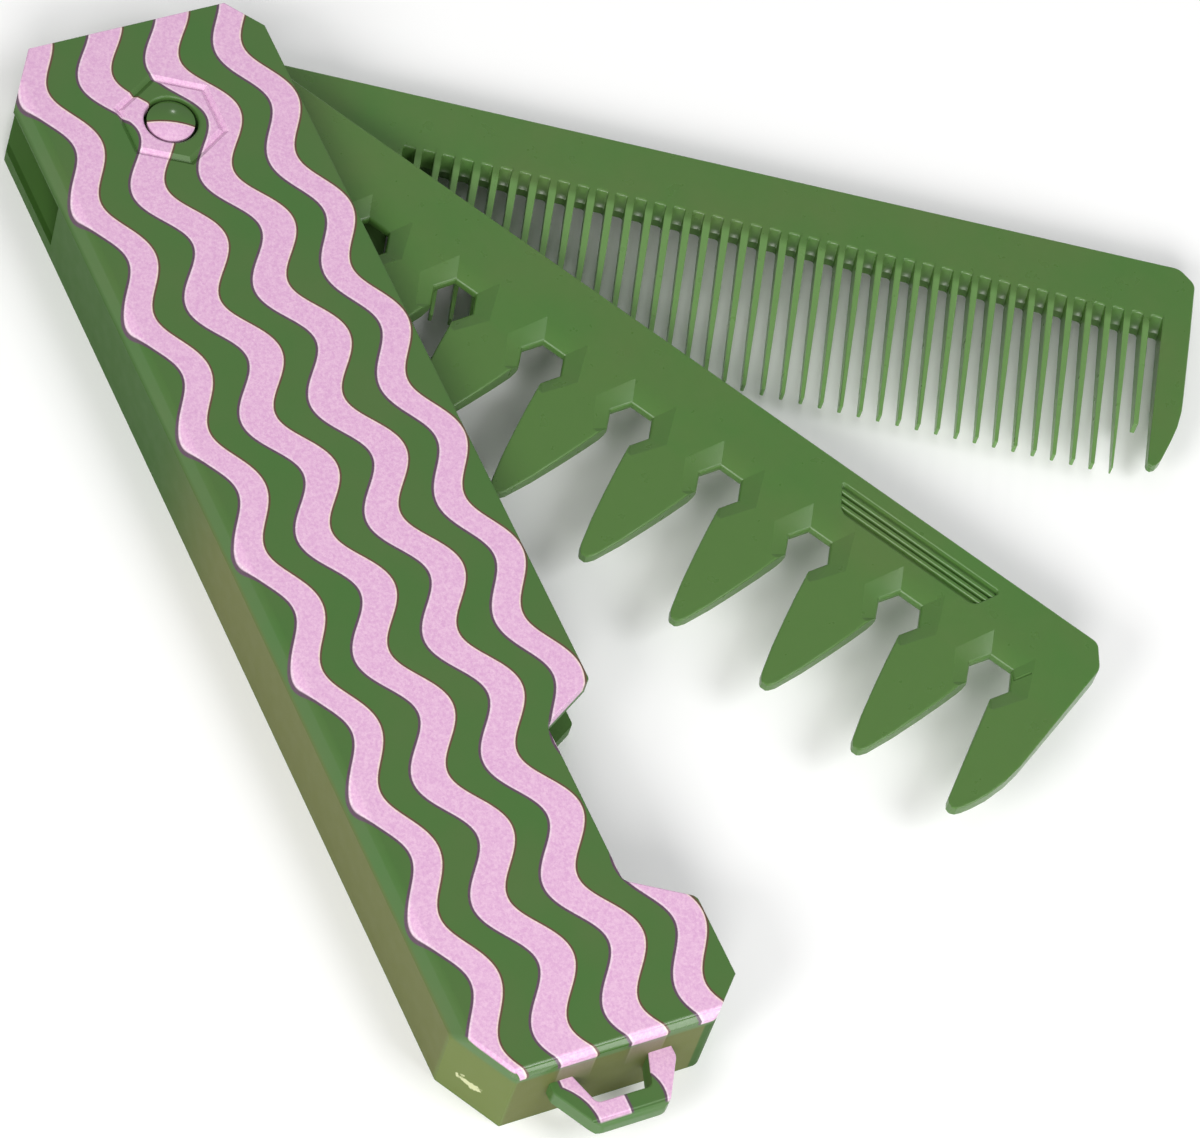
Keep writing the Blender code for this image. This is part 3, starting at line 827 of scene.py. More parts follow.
def sink_tool(side):
    """Hexagonal funnel that bevels one face round a gap of the wide comb."""
    (top_half, top), (waist_half, waist) = GAP_HALF
    tool = add_box("sink_tool", (-top_half, waist, 0), (top_half, top, 0.1))
    pick(tool, "vertices", at(y=waist))
    stretch(waist_half / top_half)
    draw_down(tool, waist_half, waist, GAP_BELOW[:1])
    pick(tool, "vertices", at(z=0.1))
    scale = 1 + (SINK_TOP - SINK_LIP) / SINK_RISE
    stretch(scale, scale, (0, SINK_CENTRE))
    bpy.ops.transform.translate(value=(0, 0, (SINK_TOP - SINK_LIP - 0.1) * MM))
    leave_edit()
    shift(tool, WIDE_FIRST_GAP, 0, SINK_LIP)
    if side < 0:
        tool.data.transform(Matrix.Scale(-1, 4, (0, 0, 1)))
        edit_all(tool)
        bpy.ops.mesh.normals_make_consistent(inside=False)
        leave_edit()
    return copy_along(tool, WIDE_GAPS, WIDE_PITCH)


def tick_tool(first, last):
    """Bar with a diamond section between two points, which scores a fine groove."""
    along = last - first
    bpy.ops.object.select_all(action="DESELECT")
    bpy.ops.mesh.primitive_cube_add(
        size=1, location=(first + last) / 2 * MM,
        rotation=along.to_track_quat("X", "Z").to_matrix().to_euler(),
        scale=((along.length + TICK_WIDTH) * MM, TICK_WIDTH * MM, TICK_WIDTH * MM))
    tool = bpy.context.object
    tool.name = "tick_tool"
    edit_all(tool)
    bpy.ops.transform.rotate(
        value=math.radians(45), orient_axis="X", orient_type="LOCAL",
        center_override=(first + last) / 2 * MM)
    leave_edit()
    bpy.ops.object.transform_apply()
    return tool


def sink_grip(blade):
    """Sink the thumb grip into the wide comb and raise its ribs."""
    floor = BLADE_HALF - GRIP_DEPTH
    tray = add_box("grip_tool", (GRIP_LEFT, GRIP_LOW, floor), (
        GRIP_RIGHT, GRIP_HIGH, BLADE_HALF + 0.05))
    for place, skew in ((GRIP_LEFT, GRIP_LEFT_SKEW), (GRIP_RIGHT, GRIP_RIGHT_SKEW)):
        pick(tray, "vertices", at(x=place, y=GRIP_LOW))
        bpy.ops.transform.translate(value=(skew * (GRIP_HIGH - GRIP_LOW) * MM, 0, 0))
        leave_edit()
    round_edges(tray, lambda ends: abs(ends[0].z - ends[1].z) > 0.3, GRIP_CORNER, 3)
    pick(tray, "vertices", at(z=floor))
    stretch(*GRIP_FLOOR, ((GRIP_LEFT + GRIP_RIGHT) / 2, (GRIP_LOW + GRIP_HIGH) / 2))
    leave_edit()
    combine(blade, tray)
    round_edges(blade, lambda ends: all(
        near(p.z, BLADE_HALF) and GRIP_LEFT - 0.1 < p.x < GRIP_RIGHT + 0.1
        and GRIP_LOW - 0.1 < p.y < GRIP_HIGH + 0.1 for p in ends), RIM_ROUNDING, 4)
    for middle in GRIP_RIBS:
        left = GRIP_LEFT + GRIP_LEFT_SKEW * (GRIP_HIGH - middle)
        right = GRIP_RIGHT + GRIP_RIGHT_SKEW * (GRIP_HIGH - middle)
        rib = add_box("rib_tool", (left, middle - RIB_HALF, floor - 0.2), (
            right, middle + RIB_HALF, floor + RIB_HEIGHT))
        pick(rib, "vertices", at(z=floor + RIB_HEIGHT))
        stretch(y=RIB_CROWN, middle=(0, middle))
        leave_edit()
        round_edges(rib, at(z=floor + RIB_HEIGHT), RIM_ROUNDING, 3)
        combine(blade, rib, "UNION")


def wide_shape(rounding):
    """Wide comb, closed and about its own middle plane."""
    blade = blade_blank("wide_comb_blade", WIDE_END, WIDE_TIP, WIDE_END_CUT, rounding)
    score(blade, TAPER_START)
    (top_half, top), (waist_half, waist) = GAP_HALF
    gap = add_box("gap_tool", (-top_half, waist, -THROUGH), (top_half, top, THROUGH))
    pick(gap, "vertices", at(y=waist))
    stretch(waist_half / top_half)
    draw_down(gap, waist_half, waist, GAP_BELOW)
    shift(gap, WIDE_FIRST_GAP)
    combine(blade, copy_along(gap, WIDE_GAPS, WIDE_PITCH))
    combine(blade, guard_tool("wide_guard_tool", WIDE_GUARD))
    neck = GAP_BELOW[0][1]
    first_flank = WIDE_FIRST_GAP - WIDE_PITCH * (WIDE_GAPS - 1) + 1
    round_edges(blade, lambda ends: all(
        near(abs(p.z), BLADE_HALF) and p.y < neck + 0.01 and first_flank < p.x < 95.0
        for p in ends) and near(ends[0].z, ends[1].z) and not near(ends[0].y, TAPER_START)
        and not near(ends[0].x, HEEL_BLEND, 0.001), FLANK_ROUNDING, 3)
    round_edges(blade, lambda ends: all(
        near(abs(p.z), BLADE_HALF) and p.x > 95.4 and p.y < WIDE_GUARD[-1][1] + 0.05 for p in ends)
        and near(ends[0].z, ends[1].z) and not all(p.x > WIDE_END - rounding - 0.05 for p in ends),
        rounding, 3)
    taper(blade, TAPER_START, TAPER_LEFT, (HEEL_FLAT, HEEL_BLEND))
    for side in (1, -1):
        combine(blade, sink_tool(side))
        round_edges(blade, lambda ends: all(
            near(p.z, side * SINK_LIP, 0.004) and p.x > HEEL_BLEND for p in ends), LIP_ROUNDING, 3)
    sink_grip(blade)
    for first, last in zip(TICK, TICK[1:]):
        combine(blade, tick_tool(Vector(first), Vector(last)))
    merge_flats(blade)
    return blade


def fine_gap_tool():
    """Tool for one fine gap: a slot that widens downwards, with a root that leans back upwards."""
    half = FINE_GAP_TOP / 2
    tool = add_box("fine_gap_tool", (-half, BELOW, -THROUGH), (half, FINE_ROOT, BLADE_HALF))
    round_edges(tool, lambda ends: at(y=FINE_ROOT)(ends) and near(ends[0].x, ends[1].x),
        FINE_ROOT_CORNER, 2)
    pick(tool, "vertices", lambda ends: ends[0].y < 0)
    stretch(FINE_GAP_BELOW / FINE_GAP_TOP)
    bpy.ops.transform.translate(value=(FINE_LEAN * MM, 0, 0))
    leave_edit()
    for height, _ in FINE_ROOT_STEPS[:-1]:
        cut(tool, (0, 0, height), (0, 0, 1), remove=False)
    # Both corners step back along their own walls, so that the walls stay flat
    for side in (1, -1):
        wider = side * (FINE_GAP_BELOW / 2 - half) + FINE_LEAN
        slope = -wider / (FINE_ROOT - FINE_ROOT_CORNER - BELOW)
        for height, back in FINE_ROOT_STEPS:
            pick(tool, "vertices", lambda ends: near(
                ends[0].z, height) and ends[0].y > 0 and ends[0].x * side > 0)
            bpy.ops.transform.translate(value=(slope * back * MM, back * MM, 0))
            leave_edit()
    pick(tool, "polygons", at(z=BLADE_HALF))
    extrude(z=0.4)
    leave_edit()
    shift(tool, FINE_FIRST_GAP)
    return tool


def fine_shape(rounding):
    """Fine comb, closed and about its own middle plane."""
    blade = blade_blank("fine_comb_blade", FINE_END, FINE_TIP, FINE_END_CUT, rounding)
    score(blade, FINE_TAPER_START)
    first_gap = fine_gap_tool()
    for above, place in ((1, FINE_GAP_TOP / 2), (-1, FINE_GAP_BELOW / 2 + FINE_LEAN)):
        pick(first_gap, "vertices", lambda ends: (
            ends[0].x > FINE_FIRST_GAP and ends[0].y * above > 0))
        wider = FINE_GUARD_INNER - FINE_FIRST_GAP - place
        bpy.ops.transform.translate(value=(wider * MM, 0, 0))
        leave_edit()
    combine(blade, first_gap)
    gap = fine_gap_tool()
    shift(gap, -FINE_PITCH)
    combine(blade, copy_along(gap, FINE_GAPS - 1, FINE_PITCH))
    combine(blade, guard_tool("fine_guard_tool", FINE_GUARD))
    short = FINE_FIRST_GAP - FINE_PITCH / 2
    left, right = SHORT_TOOTH_CUT
    combine(blade, add_box("short_tool", (short + left, BELOW, -THROUGH), (
        short + right, SHORT_TOOTH_TIP, THROUGH)))
    round_edges(blade, lambda ends: near(ends[0].x, ends[1].x, 0.02) and abs(
        ends[0].z - ends[1].z) > 0.1 and all(
        (near(p.y, FINE_TIP) or near(p.y, SHORT_TOOTH_TIP)) and p.x > HEEL_BLEND for p in ends),
        FINE_TIP_ROUNDING, 2)
    pointed = short - FINE_PITCH + FINE_LEAN
    pick(blade, "vertices", lambda ends: ends[0].y < FINE_TIP + FINE_TIP_ROUNDING + 0.02 and near(
        ends[0].x, pointed, 0.5))
    stretch(POINTED_TOOTH, middle=(pointed, 0))
    leave_edit()
    highest = FINE_ROOT + FINE_ROOT_STEPS[-1][1] + 0.1
    round_edges(blade, lambda ends: all(
        near(abs(p.z), BLADE_HALF) and HEEL_BLEND + 0.1 < p.x and p.y < highest for p in ends)
        and near(ends[0].z, ends[1].z) and not at(y=FINE_TAPER_START)(ends)
        and not all(p.x > FINE_END - rounding - 0.05 for p in ends)
        and not all(p.y < FINE_TIP + FINE_TIP_ROUNDING + 0.05 for p in ends)
        and not at(FINE_TIP_ROUNDING + 0.05, y=SHORT_TOOTH_TIP)(ends),
        TOOTH_ROUNDING, 2)
    taper(blade, FINE_TAPER_START, FINE_TAPER_LEFT, (HEEL_FLAT, HEEL_BLEND))
    merge_flats(blade)
    return blade


def start_material(name, ior):
    """Start a material. Returns it, what adds its nodes, its shader, and the place on the piece in
    millimetres, whole and as x, y and z."""
    material = bpy.data.materials.new(name)
    material.use_nodes = True
    add = partial(add_node, material.node_tree)
    shader = material.node_tree.nodes["Principled BSDF"]
    shader.inputs["IOR"].default_value = ior
    shader.inputs["Metallic"].default_value = 0.0
    metres = add("TexCoord", {})["Object"]
    place = add("Mapping", {"Vector": metres, "Scale": (1 / MM,) * 3})[0]
    return material, add, shader, place, add("SeparateXYZ", {0: place})


def moulded_surface(add, shader, place, colour, roughness, tints):
    """Injection-moulded plastic: cloudy flow marks of a redder and a greener green, and the fine
    pebble of a spark-eroded mould. Each tint is a share, a colour and a change of roughness."""
    red, green, blue = linear(colour)[:3]
    flow = add("TexNoise", {
        "Vector": place, "Scale": FLOW_SCALE, "Detail": 3.0, "Roughness": 0.55})[0]
    base = add("Mix", {
        0: add("MapRange", {0: flow, 1: 0.32, 2: 0.68})[0],
        6: (red * 0.88, green * 1.02, blue * 0.92, 1.0),
        7: (red * 1.12, green * 0.99, blue * 1.08, 1.0)}, data_type="RGBA")[2]
    gloss = add("MapRange", {
        0: add("TexNoise", {"Vector": place, "Scale": GLOSS_SCALE, "Detail": 3.0})[0],
        1: 0.3, 2: 0.7, 3: roughness - 0.03, 4: roughness + 0.04})[0]
    for share, tint, duller in tints:
        base = add("Mix", {0: share, 6: base, 7: tint}, data_type="RGBA")[2]
        gloss = add("Math", {0: share, 1: duller, 2: gloss}, operation="MULTIPLY_ADD")[0]
    links = shader.id_data.links
    links.new(base, shader.inputs["Base Color"])
    links.new(gloss, shader.inputs["Roughness"])
    pebble = add("TexNoise", {
        "Vector": place, "Scale": PEBBLE_SCALE, "Detail": 2.0, "Roughness": 0.6})[0]
    bump = add("Bump", {"Height": pebble, "Strength": 0.2, "Distance": PEBBLE_HEIGHT * MM})[0]
    links.new(bump, shader.inputs["Normal"])


def ink_layer(add, place, distance, reach, prints, upper=0.0):
    """Pad-printed ink, by the distance in millimetres from its edge, below zero inside it. A dark
    line runs along the edge with a light rim inside it, and both are thinner and browner where
    upper is one. The ink is speckled by the pebble under it."""
    spread = add("MapRange", {0: distance, 1: -0.6, 2: 0.15})[0]
    colours = []
    for rim, line, stops in (
        (prints.rim, prints.line, (0.36, 0.5, 0.6, 0.7)),
        (prints.upper_rim, prints.upper_line, (0.5, 0.62, 0.68, 0.77)),
    ):
        ramp = add("ValToRGB", {0: spread})[0]
        ends = (prints.ink, rim, rim, line)
        while len(ramp.node.color_ramp.elements) < len(stops):
            ramp.node.color_ramp.elements.new(0.5)
        for element, stop, colour in zip(ramp.node.color_ramp.elements, stops, ends):
            element.position = stop
            element.color = linear(colour)
        colours.append(ramp)
    edge = add("Mix", {0: upper, 6: colours[0], 7: colours[1]}, data_type="RGBA")[2]
    speck = add("MapRange", {
        0: add("TexNoise", {
            "Vector": place, "Scale": SPECKLE_SCALE, "Detail": 3.0, "Roughness": 0.75})[0],
        1: 0.35, 2: 0.65})[0]
    ink = add("Mix", {
        0: 1.0, 6: edge, 7: add("Mix", {
            0: speck, 6: (0.89, 0.78, 0.9, 1.0), 7: (1.07, 1.12, 1.06, 1.0)}, data_type="RGBA")[2],
    }, data_type="RGBA", blend_type="MULTIPLY")[2]
    inside = add("MapRange", {0: distance, 1: 0.15, 2: 0.09})[0]
    share = add("Math", {0: inside, 1: reach}, operation="MULTIPLY")[0]
    return share, ink, 0.08


def wave_print(add, x, y, prints):
    """Distance from the nearest printed wave's edge, and whether that is its upper edge."""
    per_mm = 2 * math.pi * MM / prints.wave_length
    phase = add("Math", {
        0: x, 1: per_mm, 2: -prints.crest / MM * per_mm}, operation="MULTIPLY_ADD")[0]
    wave = add("Math", {0: phase}, operation="COSINE")[0]
    twice = add("Math", {0: phase, 1: 2.0}, operation="MULTIPLY")[0]
    necking = add("Math", {
        0: add("Math", {0: twice}, operation="COSINE")[0],
        1: STRIPE_NECKING}, operation="MULTIPLY")[0]
    nearest = 100.0
    for middle, half, swing in STRIPES:
        line = add("Math", {0: wave, 1: swing, 2: middle}, operation="MULTIPLY_ADD")[0]
        away = add("Math", {0: y, 1: line}, operation="SUBTRACT")[0]
        away = add("Math", {0: away}, operation="ABSOLUTE")[0]
        away = add("Math", {0: away, 1: half}, operation="SUBTRACT")[0]
        nearest = add("Math", {0: nearest, 1: away}, operation="MINIMUM")[0]
    nearest = add("Math", {0: nearest, 1: necking}, operation="ADD")[0]
    # A wave's slope makes the distance straight across it shorter than along y
    slope = add("Math", {
        0: add("Math", {0: phase}, operation="SINE")[0],
        1: STRIPES[1][2] * per_mm}, operation="MULTIPLY")[0]
    length = add("Math", {0: slope, 1: slope, 2: 1.0}, operation="MULTIPLY_ADD")[0]
    length = add("Math", {0: length}, operation="SQRT")[0]
    distance = add("Math", {0: nearest, 1: length}, operation="DIVIDE")[0]
    # The waves are nearly one pitch apart, so a repeat of that pitch tells their two edges apart
    level = add("Math", {0: wave, 1: -STRIPE_SWING, 2: y}, operation="MULTIPLY_ADD")[0]
    level = add("Math", {0: level, 1: -STRIPES[1][0]}, operation="ADD")[0]
    level = add("Math", {0: level, 1: STRIPE_PITCH / 2, 2: -STRIPE_PITCH / 2}, operation="WRAP")[0]
    upper = add("Math", {0: level, 1: 0.0}, operation="GREATER_THAN")[0]
    return distance, upper


def printed_case_plastic(settings):
    """Moulded ABS with a satin finish, pad-printed in one ink. The print lies on the top cover and
    its bevels, with a thin haze of ink on the end wall. The outer walls are painted a warm olive
    reflection near the loop, a lighter and greener painted light on the near corner's wall, and a
    darker painted shade far from the loop and beside the mouth. Handling has polished the bevel
    at the loop's end."""
    case, prints = settings.case, settings.prints
    material, add, shader, place, (x, y, z) = start_material(
        "Pad-printed moulded ABS, satin", ABS_IOR)
    distance, upper = wave_print(add, x, y, prints)
    (x0, y0), (x1, y1) = CORNER_CUTS[0]
    across = Vector((y1 - y0, x0 - x1, 0)).normalized()
    beyond = add("VectorMath", {0: place, 1: across}, operation="DOT_PRODUCT")["Value"]
    plane = across.dot((x0, y0, 0))
    limit = add("MapRange", {
        0: beyond, 1: plane - 0.3, 2: plane - 0.2,
        3: PRINT_FOOT, 4: TOP - NEAR_CORNER_EDGE - 0.05})[0]
    above = add("Math", {0: z, 1: limit}, operation="SUBTRACT")[0]
    on_top, below, end, worn, bevel, mouth, outer, far_end, standing, corner = (
        add("MapRange", {0: value, 1: first, 2: last})[0] for value, (first, last) in (
            (above, (0.0, 0.15)), (z, WALL_TOP), (x, END_WALL), (x, POLISH_START),
            (z, POLISH_FOOT), (y, MOUTH_CORNER), (y, SIDE_WALL), (x, END_SIDE), (z, WALL_FOOT),
            (beyond, (plane - 0.3, plane - 0.1))))
    faint = add("MapRange", {0: z, 1: HAZE_FOOT, 2: PRINT_FOOT, 3: 0.0, 4: HAZE_SHARE})[0]
    offset = add("Math", {0: y}, operation="ABSOLUTE")[0]
    middle = add("Math", {0: offset, 1: HAZE_HALF_WIDTH}, operation="LESS_THAN")[0]
    for other in (end, middle):
        faint = add("Math", {0: faint, 1: other}, operation="MULTIPLY")[0]
    reach = add("Math", {0: on_top, 1: faint}, operation="MAXIMUM")[0]
    worn = add("Math", {0: worn, 1: bevel}, operation="MULTIPLY")[0]
    shine = add("MapRange", {0: below, 3: TOP_SHINE, 4: WALL_SHINE})[0]
    shine = add("Math", {0: worn, 1: POLISH_SHINE, 2: shine}, operation="MULTIPLY_ADD")[0]
    shader.id_data.links.new(shine, shader.inputs["Specular IOR Level"])
    # Painted shade: lit is nought on the side wall far from the loop and on the end wall beside the
    # mouth, where the walls get the darker far wall colour
    lit = add("MapRange", {
        0: x, 1: FAR_WALL_SHADE[0], 2: FAR_WALL_SHADE[1]}, interpolation_type="SMOOTHSTEP")[0]
    lit = add("Math", {0: lit, 1: mouth}, operation="MULTIPLY")[0]
    for other, operation in (
        (far_end, "MAXIMUM"), (corner, "MAXIMUM"), (standing, "MULTIPLY"), (below, "MULTIPLY"),
    ):
        outer = add("Math", {0: outer, 1: other}, operation=operation)[0]
    # Painted reflection, light and shade: warm olive on the walls, lighter and greener on the near
    # corner's wall, darker where lit falls off
    wall = linear(case.corner_painted_light_colour)
    for share, colour in ((corner, case.wall_painted_reflection_colour), (lit, case.far_wall_painted_shade_colour)):
        wall = add("Mix", {0: share, 6: linear(colour), 7: wall}, data_type="RGBA")[2]
    # A pale cream, glossier patch with a ragged edge on the near corner's wall
    along, upward = PATCH_REACH
    patch = add("VectorMath", {0: place, 1: PATCH_MIDDLE}, operation="SUBTRACT")[0]
    patch = add("VectorMath", {
        0: patch, 1: (1 / along, 1 / along, 1 / upward)}, operation="MULTIPLY")[0]
    patch = add("VectorMath", {0: patch}, operation="LENGTH")["Value"]
    ragged = add("TexNoise", {"Vector": place, "Scale": PATCH_SCALE, "Detail": 2.0})[0]
    patch = add("Math", {0: ragged, 1: PATCH_RAGGED, 2: patch}, operation="MULTIPLY_ADD")[0]
    patch = add("MapRange", {0: patch, 1: PATCH_EDGE[0], 2: PATCH_EDGE[1]})[0]
    moulded_surface(add, shader, place, case.colour, case.roughness, (
        (worn, linear(case.colour), -0.2),
        (below, linear(case.colour), 0.15),
        # The walls' painted reflection, light and shade
        (outer, wall, 0.0),
        (patch, linear(case.patch_colour), -0.15),
        ink_layer(add, place, distance, reach, prints, upper)))
    return material


def rivet_plastic(settings):
    """Moulded ABS with a polished head. The case's print covers the side of it nearer the loop."""
    prints = settings.prints
    material, add, shader, place, (_, _, z) = start_material(
        "Pad-printed moulded ABS, rivet", ABS_IOR)
    across = Vector((-RIVET_PRINT[1], RIVET_PRINT[0], 0)).normalized()
    distance = add("VectorMath", {0: place, 1: across}, operation="DOT_PRODUCT")["Value"]
    distance = add("Math", {0: distance, 1: -across.dot(RIVET_PRINT_START)}, operation="ADD")[0]
    reach = add("MapRange", {0: z, 1: RIVET_RIM - 0.4, 2: RIVET_RIM - 0.2})[0]
    moulded_surface(add, shader, place, settings.case.colour, settings.case.rivet_roughness, (
        ink_layer(add, place, distance, reach, prints, 1.0),))
    return material


def loop_plastic(settings):
    """Moulded ABS of the key-ring loop. The print covers the right arm, half of the bar and the
    inner side of the left arm."""
    case, prints = settings.case, settings.prints
    material, add, shader, place, (x, y, z) = start_material(
        "Pad-printed moulded ABS, loop", ABS_IOR)
    # Left arm: the edge bends away from the hole towards the case
    at_bar, swing, power = LOOP_LEFT_PRINT
    bend = add("MapRange", {0: x, 1: LOOP_HIGH[0], 2: LOOP_LEFT_BEND})[0]
    bend = add("Math", {0: bend, 1: power}, operation="POWER")[0]
    left = add("Math", {0: bend, 1: swing, 2: at_bar}, operation="MULTIPLY_ADD")[0]
    left = add("Math", {0: left, 1: y}, operation="SUBTRACT")[0]
    # Right arm: a shallow bow
    at_bar, swing = LOOP_RIGHT_PRINT
    bow = add("MapRange", {0: x, 1: LOOP_BOW[0], 2: LOOP_BOW[1], 3: -1.0, 4: 1.0}, clamp=False)[0]
    bow = add("Math", {0: bow, 1: bow}, operation="MULTIPLY")[0]
    right = add("Math", {0: bow, 1: swing, 2: at_bar}, operation="MULTIPLY_ADD")[0]
    right = add("Math", {0: right, 1: y}, operation="SUBTRACT")[0]
    bar = add("Math", {0: right, 1: y}, operation="MINIMUM")[0]
    distance = add("Math", {0: left, 1: bar}, operation="MAXIMUM")[0]
    reach = add("MapRange", {0: z, 1: LOOP_HIGH[2] - 0.25, 2: LOOP_HIGH[2] - 0.1})[0]
    moulded_surface(add, shader, place, case.colour, case.roughness, (
        ink_layer(add, place, distance, reach, prints),))
    return material


def blade_plastic(name, settings, rest_angle, root, last, teeth_painted_light_colour):
    """Moulded acetal, unprinted: a tough, slightly waxy plastic that light passes into a little.
    Below their root and up to the last one, the teeth are painted a lighter colour, painted light
    for the light that passes through thin teeth."""
    blades = settings.blades
    material, add, shader, place, _ = start_material(name, ACETAL_IOR)
    rest = math.radians(rest_angle)
    thin = add("VectorMath", {
        0: place, 1: (-math.sin(rest), math.cos(rest), 0.0)}, operation="DOT_PRODUCT")["Value"]
    thin = add("MapRange", {0: thin, 1: root + 0.2, 2: root - 0.6})[0]
    along = add("VectorMath", {
        0: place, 1: (math.cos(rest), math.sin(rest), 0.0)}, operation="DOT_PRODUCT")["Value"]
    along = add("MapRange", {0: along, 1: last + 0.1, 2: last - 0.1})[0]
    thin = add("Math", {0: thin, 1: along}, operation="MULTIPLY")[0]
    shader.inputs["Subsurface Weight"].default_value = blades.depth
    shader.inputs["Subsurface Scale"].default_value = MM
    shader.inputs["Subsurface Radius"].default_value = (0.6, 1.0, 0.4)
    # Painted light: where thin is one, the teeth are painted the lighter teeth colour
    moulded_surface(add, shader, place, blades.colour, blades.roughness, (
        (thin, linear(teeth_painted_light_colour), 0.0),))
    return material


def place_piece(thing, body, node, material):
    """Give a finished piece its material and the body it rides on, and hide the solid it
    stands for.
    """
    if thing.data.materials:
        thing.data.materials.clear()
    thing.data.materials.append(material)
    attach(thing, body)
    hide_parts(node)


class FOLDINGCOMB_OT_case(bpy.types.Operator):
    """Build the printed case with its key-ring loop"""

    bl_idname = "folding_comb.case"
    bl_label = "Build Case"

    def execute(self, context):
        settings = context.scene.folding_comb
        case = case_shape(settings.case.edge_rounding / MM)
        shade(case)
        place_piece(case, "housing", "case", printed_case_plastic(settings))
        case.data.materials.append(loop_plastic(settings))
        for face in case.data.polygons:
            face.material_index = int(face.center.x > (CASE_HIGH[0] + 0.02) * MM)
        return {"FINISHED"}


class FOLDINGCOMB_OT_rivet(bpy.types.Operator):
    """Build the domed rivet that both blades turn on"""

    bl_idname = "folding_comb.rivet"
    bl_label = "Build Rivet"

    def execute(self, context):
        settings = context.scene.folding_comb
        rivet = rivet_shape()
        shade(rivet)
        place_piece(rivet, "housing", "rivet", rivet_plastic(settings))
        return {"FINISHED"}


class FOLDINGCOMB_OT_wide_blade(bpy.types.Operator):
    """Build the blade with wide, leaf-shaped teeth and a ribbed thumb grip"""

    bl_idname = "folding_comb.wide_blade"
    bl_label = "Build Wide Comb"

    def execute(self, context):
        settings = context.scene.folding_comb
        blade = wide_shape(settings.blades.edge_rounding / MM)
        shade(blade)
        shift(blade, z=WIDE_MIDDLE)
        turn(blade, WIDE_REST_ANGLE)
        place_piece(blade, "wide_blade", "wide_comb", blade_plastic(
            "Moulded acetal, wide comb", settings, WIDE_REST_ANGLE, GAP_WAIST, WIDE_END,
            settings.blades.colour))
        return {"FINISHED"}


class FOLDINGCOMB_OT_fine_blade(bpy.types.Operator):
    """Build the blade with fine teeth"""

    bl_idname = "folding_comb.fine_blade"
    bl_label = "Build Fine Comb"

    def execute(self, context):
        settings = context.scene.folding_comb
        blade = fine_shape(settings.blades.edge_rounding / MM)
        shade(blade)
        shift(blade, z=FINE_MIDDLE)
        turn(blade, FINE_REST_ANGLE)
        place_piece(blade, "fine_blade", "fine_comb", blade_plastic(
            "Moulded acetal, fine comb", settings, FINE_REST_ANGLE, FINE_ROOT, FINE_FIRST_GAP,
            settings.blades.teeth_painted_light_colour))
        return {"FINISHED"}


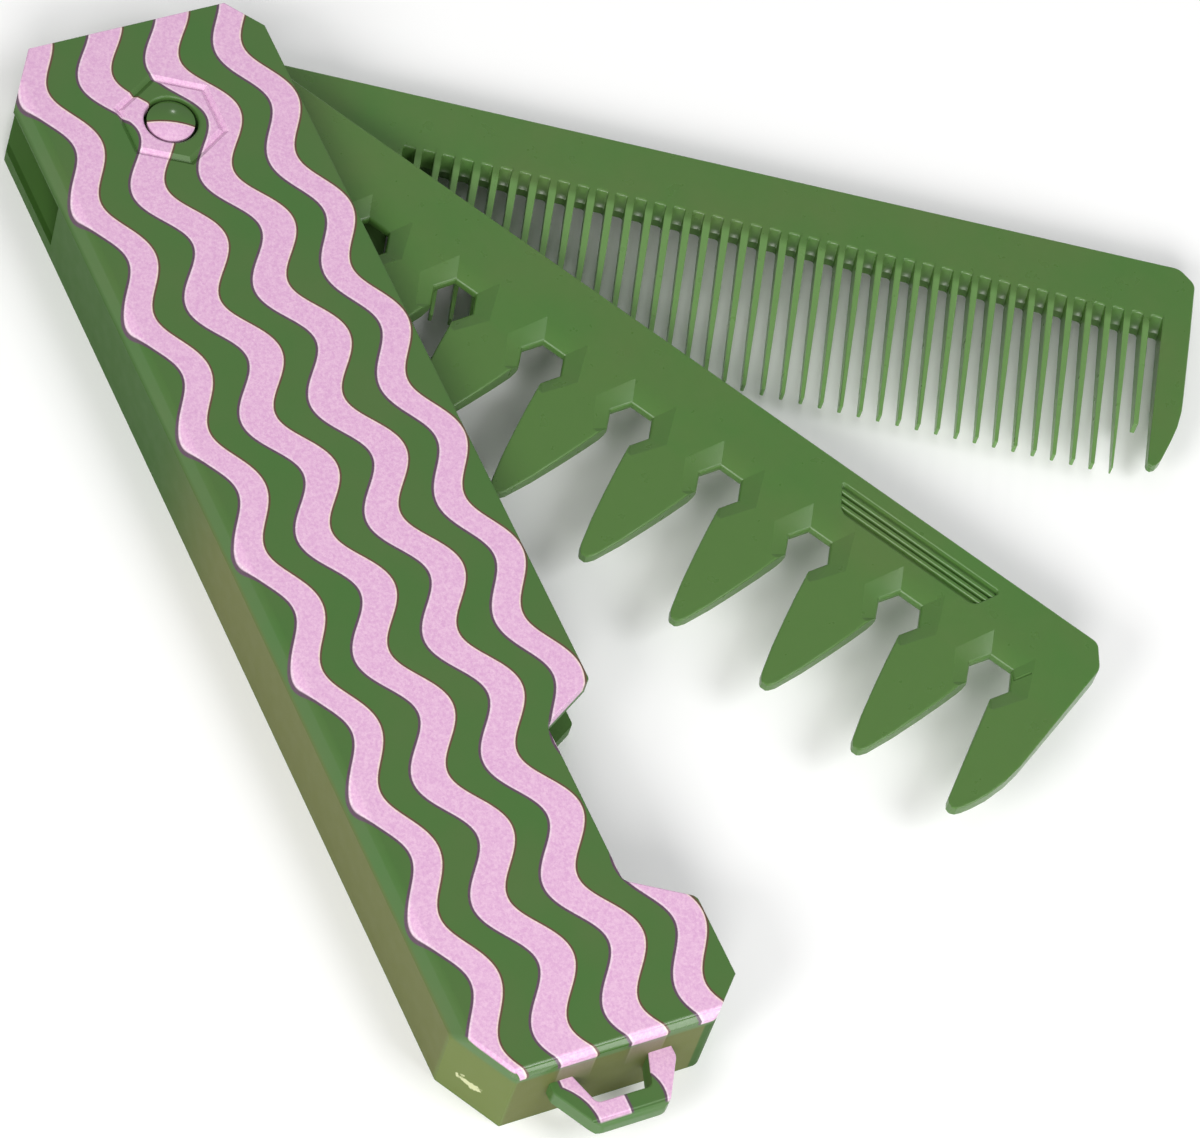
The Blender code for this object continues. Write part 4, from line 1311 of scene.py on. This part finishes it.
class FOLDINGCOMB_OT_studio(bpy.types.Operator):
    """Lay the floor, set the soft lights and place the camera"""

    bl_idname = "folding_comb.studio"
    bl_label = "Set Up Studio"

    def execute(self, context):
        studio = context.scene.folding_comb.studio
        bpy.ops.object.select_all(action="DESELECT")
        bpy.ops.mesh.primitive_plane_add(size=6.0, location=(0, 0, 0))
        floor = context.object
        floor.name = "studio_floor"
        # Matt paper sweep
        paper, _, shader, _, _ = start_material("Matt backdrop paper", PAPER_IOR)
        shader.inputs["Base Color"].default_value = linear(studio.floor_colour)
        shader.inputs["Roughness"].default_value = 0.9
        shader.inputs["Specular IOR Level"].default_value = 0.2
        floor.data.materials.append(paper)
        world = bpy.data.worlds.new("Soft white room")
        context.scene.world = world
        world.use_nodes = True
        background = world.node_tree.nodes["Background"]
        background.inputs["Color"].default_value = (1.0, 1.0, 1.0, 1.0)
        background.inputs["Strength"].default_value = studio.sky
        aim = Vector(LIGHT_AIM)
        for name, azimuth, elevation, size, power, colour in (
            ("key_light", -28, 34, 0.36, studio.key_power / 2, (1.0, 0.99, 0.97)),
            ("side_light", -70, 33, 0.36, studio.key_power / 2, (1.0, 0.99, 0.97)),
            ("fill_light", 36, 52, 0.42, studio.fill_power, (0.98, 0.99, 1.0)),
            ("low_light", 22, 10, 0.28, studio.low_power, (0.98, 1.0, 0.98)),
            ("catch_light", 151, 34.5, 0.05, studio.catch_power, (1.0, 1.0, 1.0)),
        ):
            away = Matrix.Rotation(math.radians(azimuth), 3, "Z") @ Matrix.Rotation(
                -math.radians(elevation), 3, "Y") @ Vector((LIGHT_DISTANCE, 0, 0))
            bpy.ops.object.light_add(type="AREA", location=aim + away)
            light = context.object
            light.name = name
            light.data.shape = "DISK"
            light.data.size = size
            light.data.energy = power
            light.data.color = colour
            light.rotation_euler = away.to_track_quat("Z", "Y").to_euler()
        bpy.ops.object.camera_add(
            location=CAMERA_PLACE, rotation=[math.radians(angle) for angle in CAMERA_TURN])
        camera = context.object
        camera.name = "photo_camera"
        camera.data.lens = studio.lens
        camera.data.clip_start = 0.01
        context.scene.camera = camera
        context.scene.view_settings.view_transform = "Standard"
        return {"FINISHED"}


class FOLDINGCOMB_PT_build(bpy.types.Panel):
    """Buttons and settings of the comb"""

    bl_idname = "FOLDINGCOMB_PT_build"
    bl_label = "Folding Comb"
    bl_space_type = "VIEW_3D"
    bl_region_type = "UI"
    bl_category = "Folding Comb"

    def draw(self, context):
        settings = context.scene.folding_comb
        for title, group in (
            ("Case", settings.case), ("Print", settings.prints),
            ("Blades", settings.blades), ("Studio", settings.studio),
        ):
            box = self.layout.box()
            box.label(text=title)
            for name in group.__annotations__:
                box.prop(group, name)
        for operator in OPERATORS:
            self.layout.operator(operator.bl_idname)


SETTINGS = (CaseSettings, PrintSettings, BladeSettings, StudioSettings, CombSettings)
OPERATORS = (
    FOLDINGCOMB_OT_case,
    FOLDINGCOMB_OT_rivet,
    FOLDINGCOMB_OT_wide_blade,
    FOLDINGCOMB_OT_fine_blade,
    FOLDINGCOMB_OT_studio,
)


def register():
    """Add the settings, operators and panel to Blender."""
    for item in (*SETTINGS, *OPERATORS, FOLDINGCOMB_PT_build):
        bpy.utils.register_class(item)
    bpy.types.Scene.folding_comb = bpy.props.PointerProperty(type=CombSettings)


def unregister():
    """Take them out again."""
    del bpy.types.Scene.folding_comb
    for item in reversed((*SETTINGS, *OPERATORS, FOLDINGCOMB_PT_build)):
        bpy.utils.unregister_class(item)


def main():
    """Build the whole comb and its studio."""
    register()
    for thing in list(bpy.data.objects):
        if thing not in frame["nodes"].values() and thing not in frame["bodies"].values():
            bpy.data.objects.remove(thing)
    bpy.ops.folding_comb.case()
    bpy.ops.folding_comb.rivet()
    bpy.ops.folding_comb.wide_blade()
    bpy.ops.folding_comb.fine_blade()
    bpy.ops.folding_comb.studio()
    bpy.context.view_layer.update()


if __name__ == "__main__":
    main()
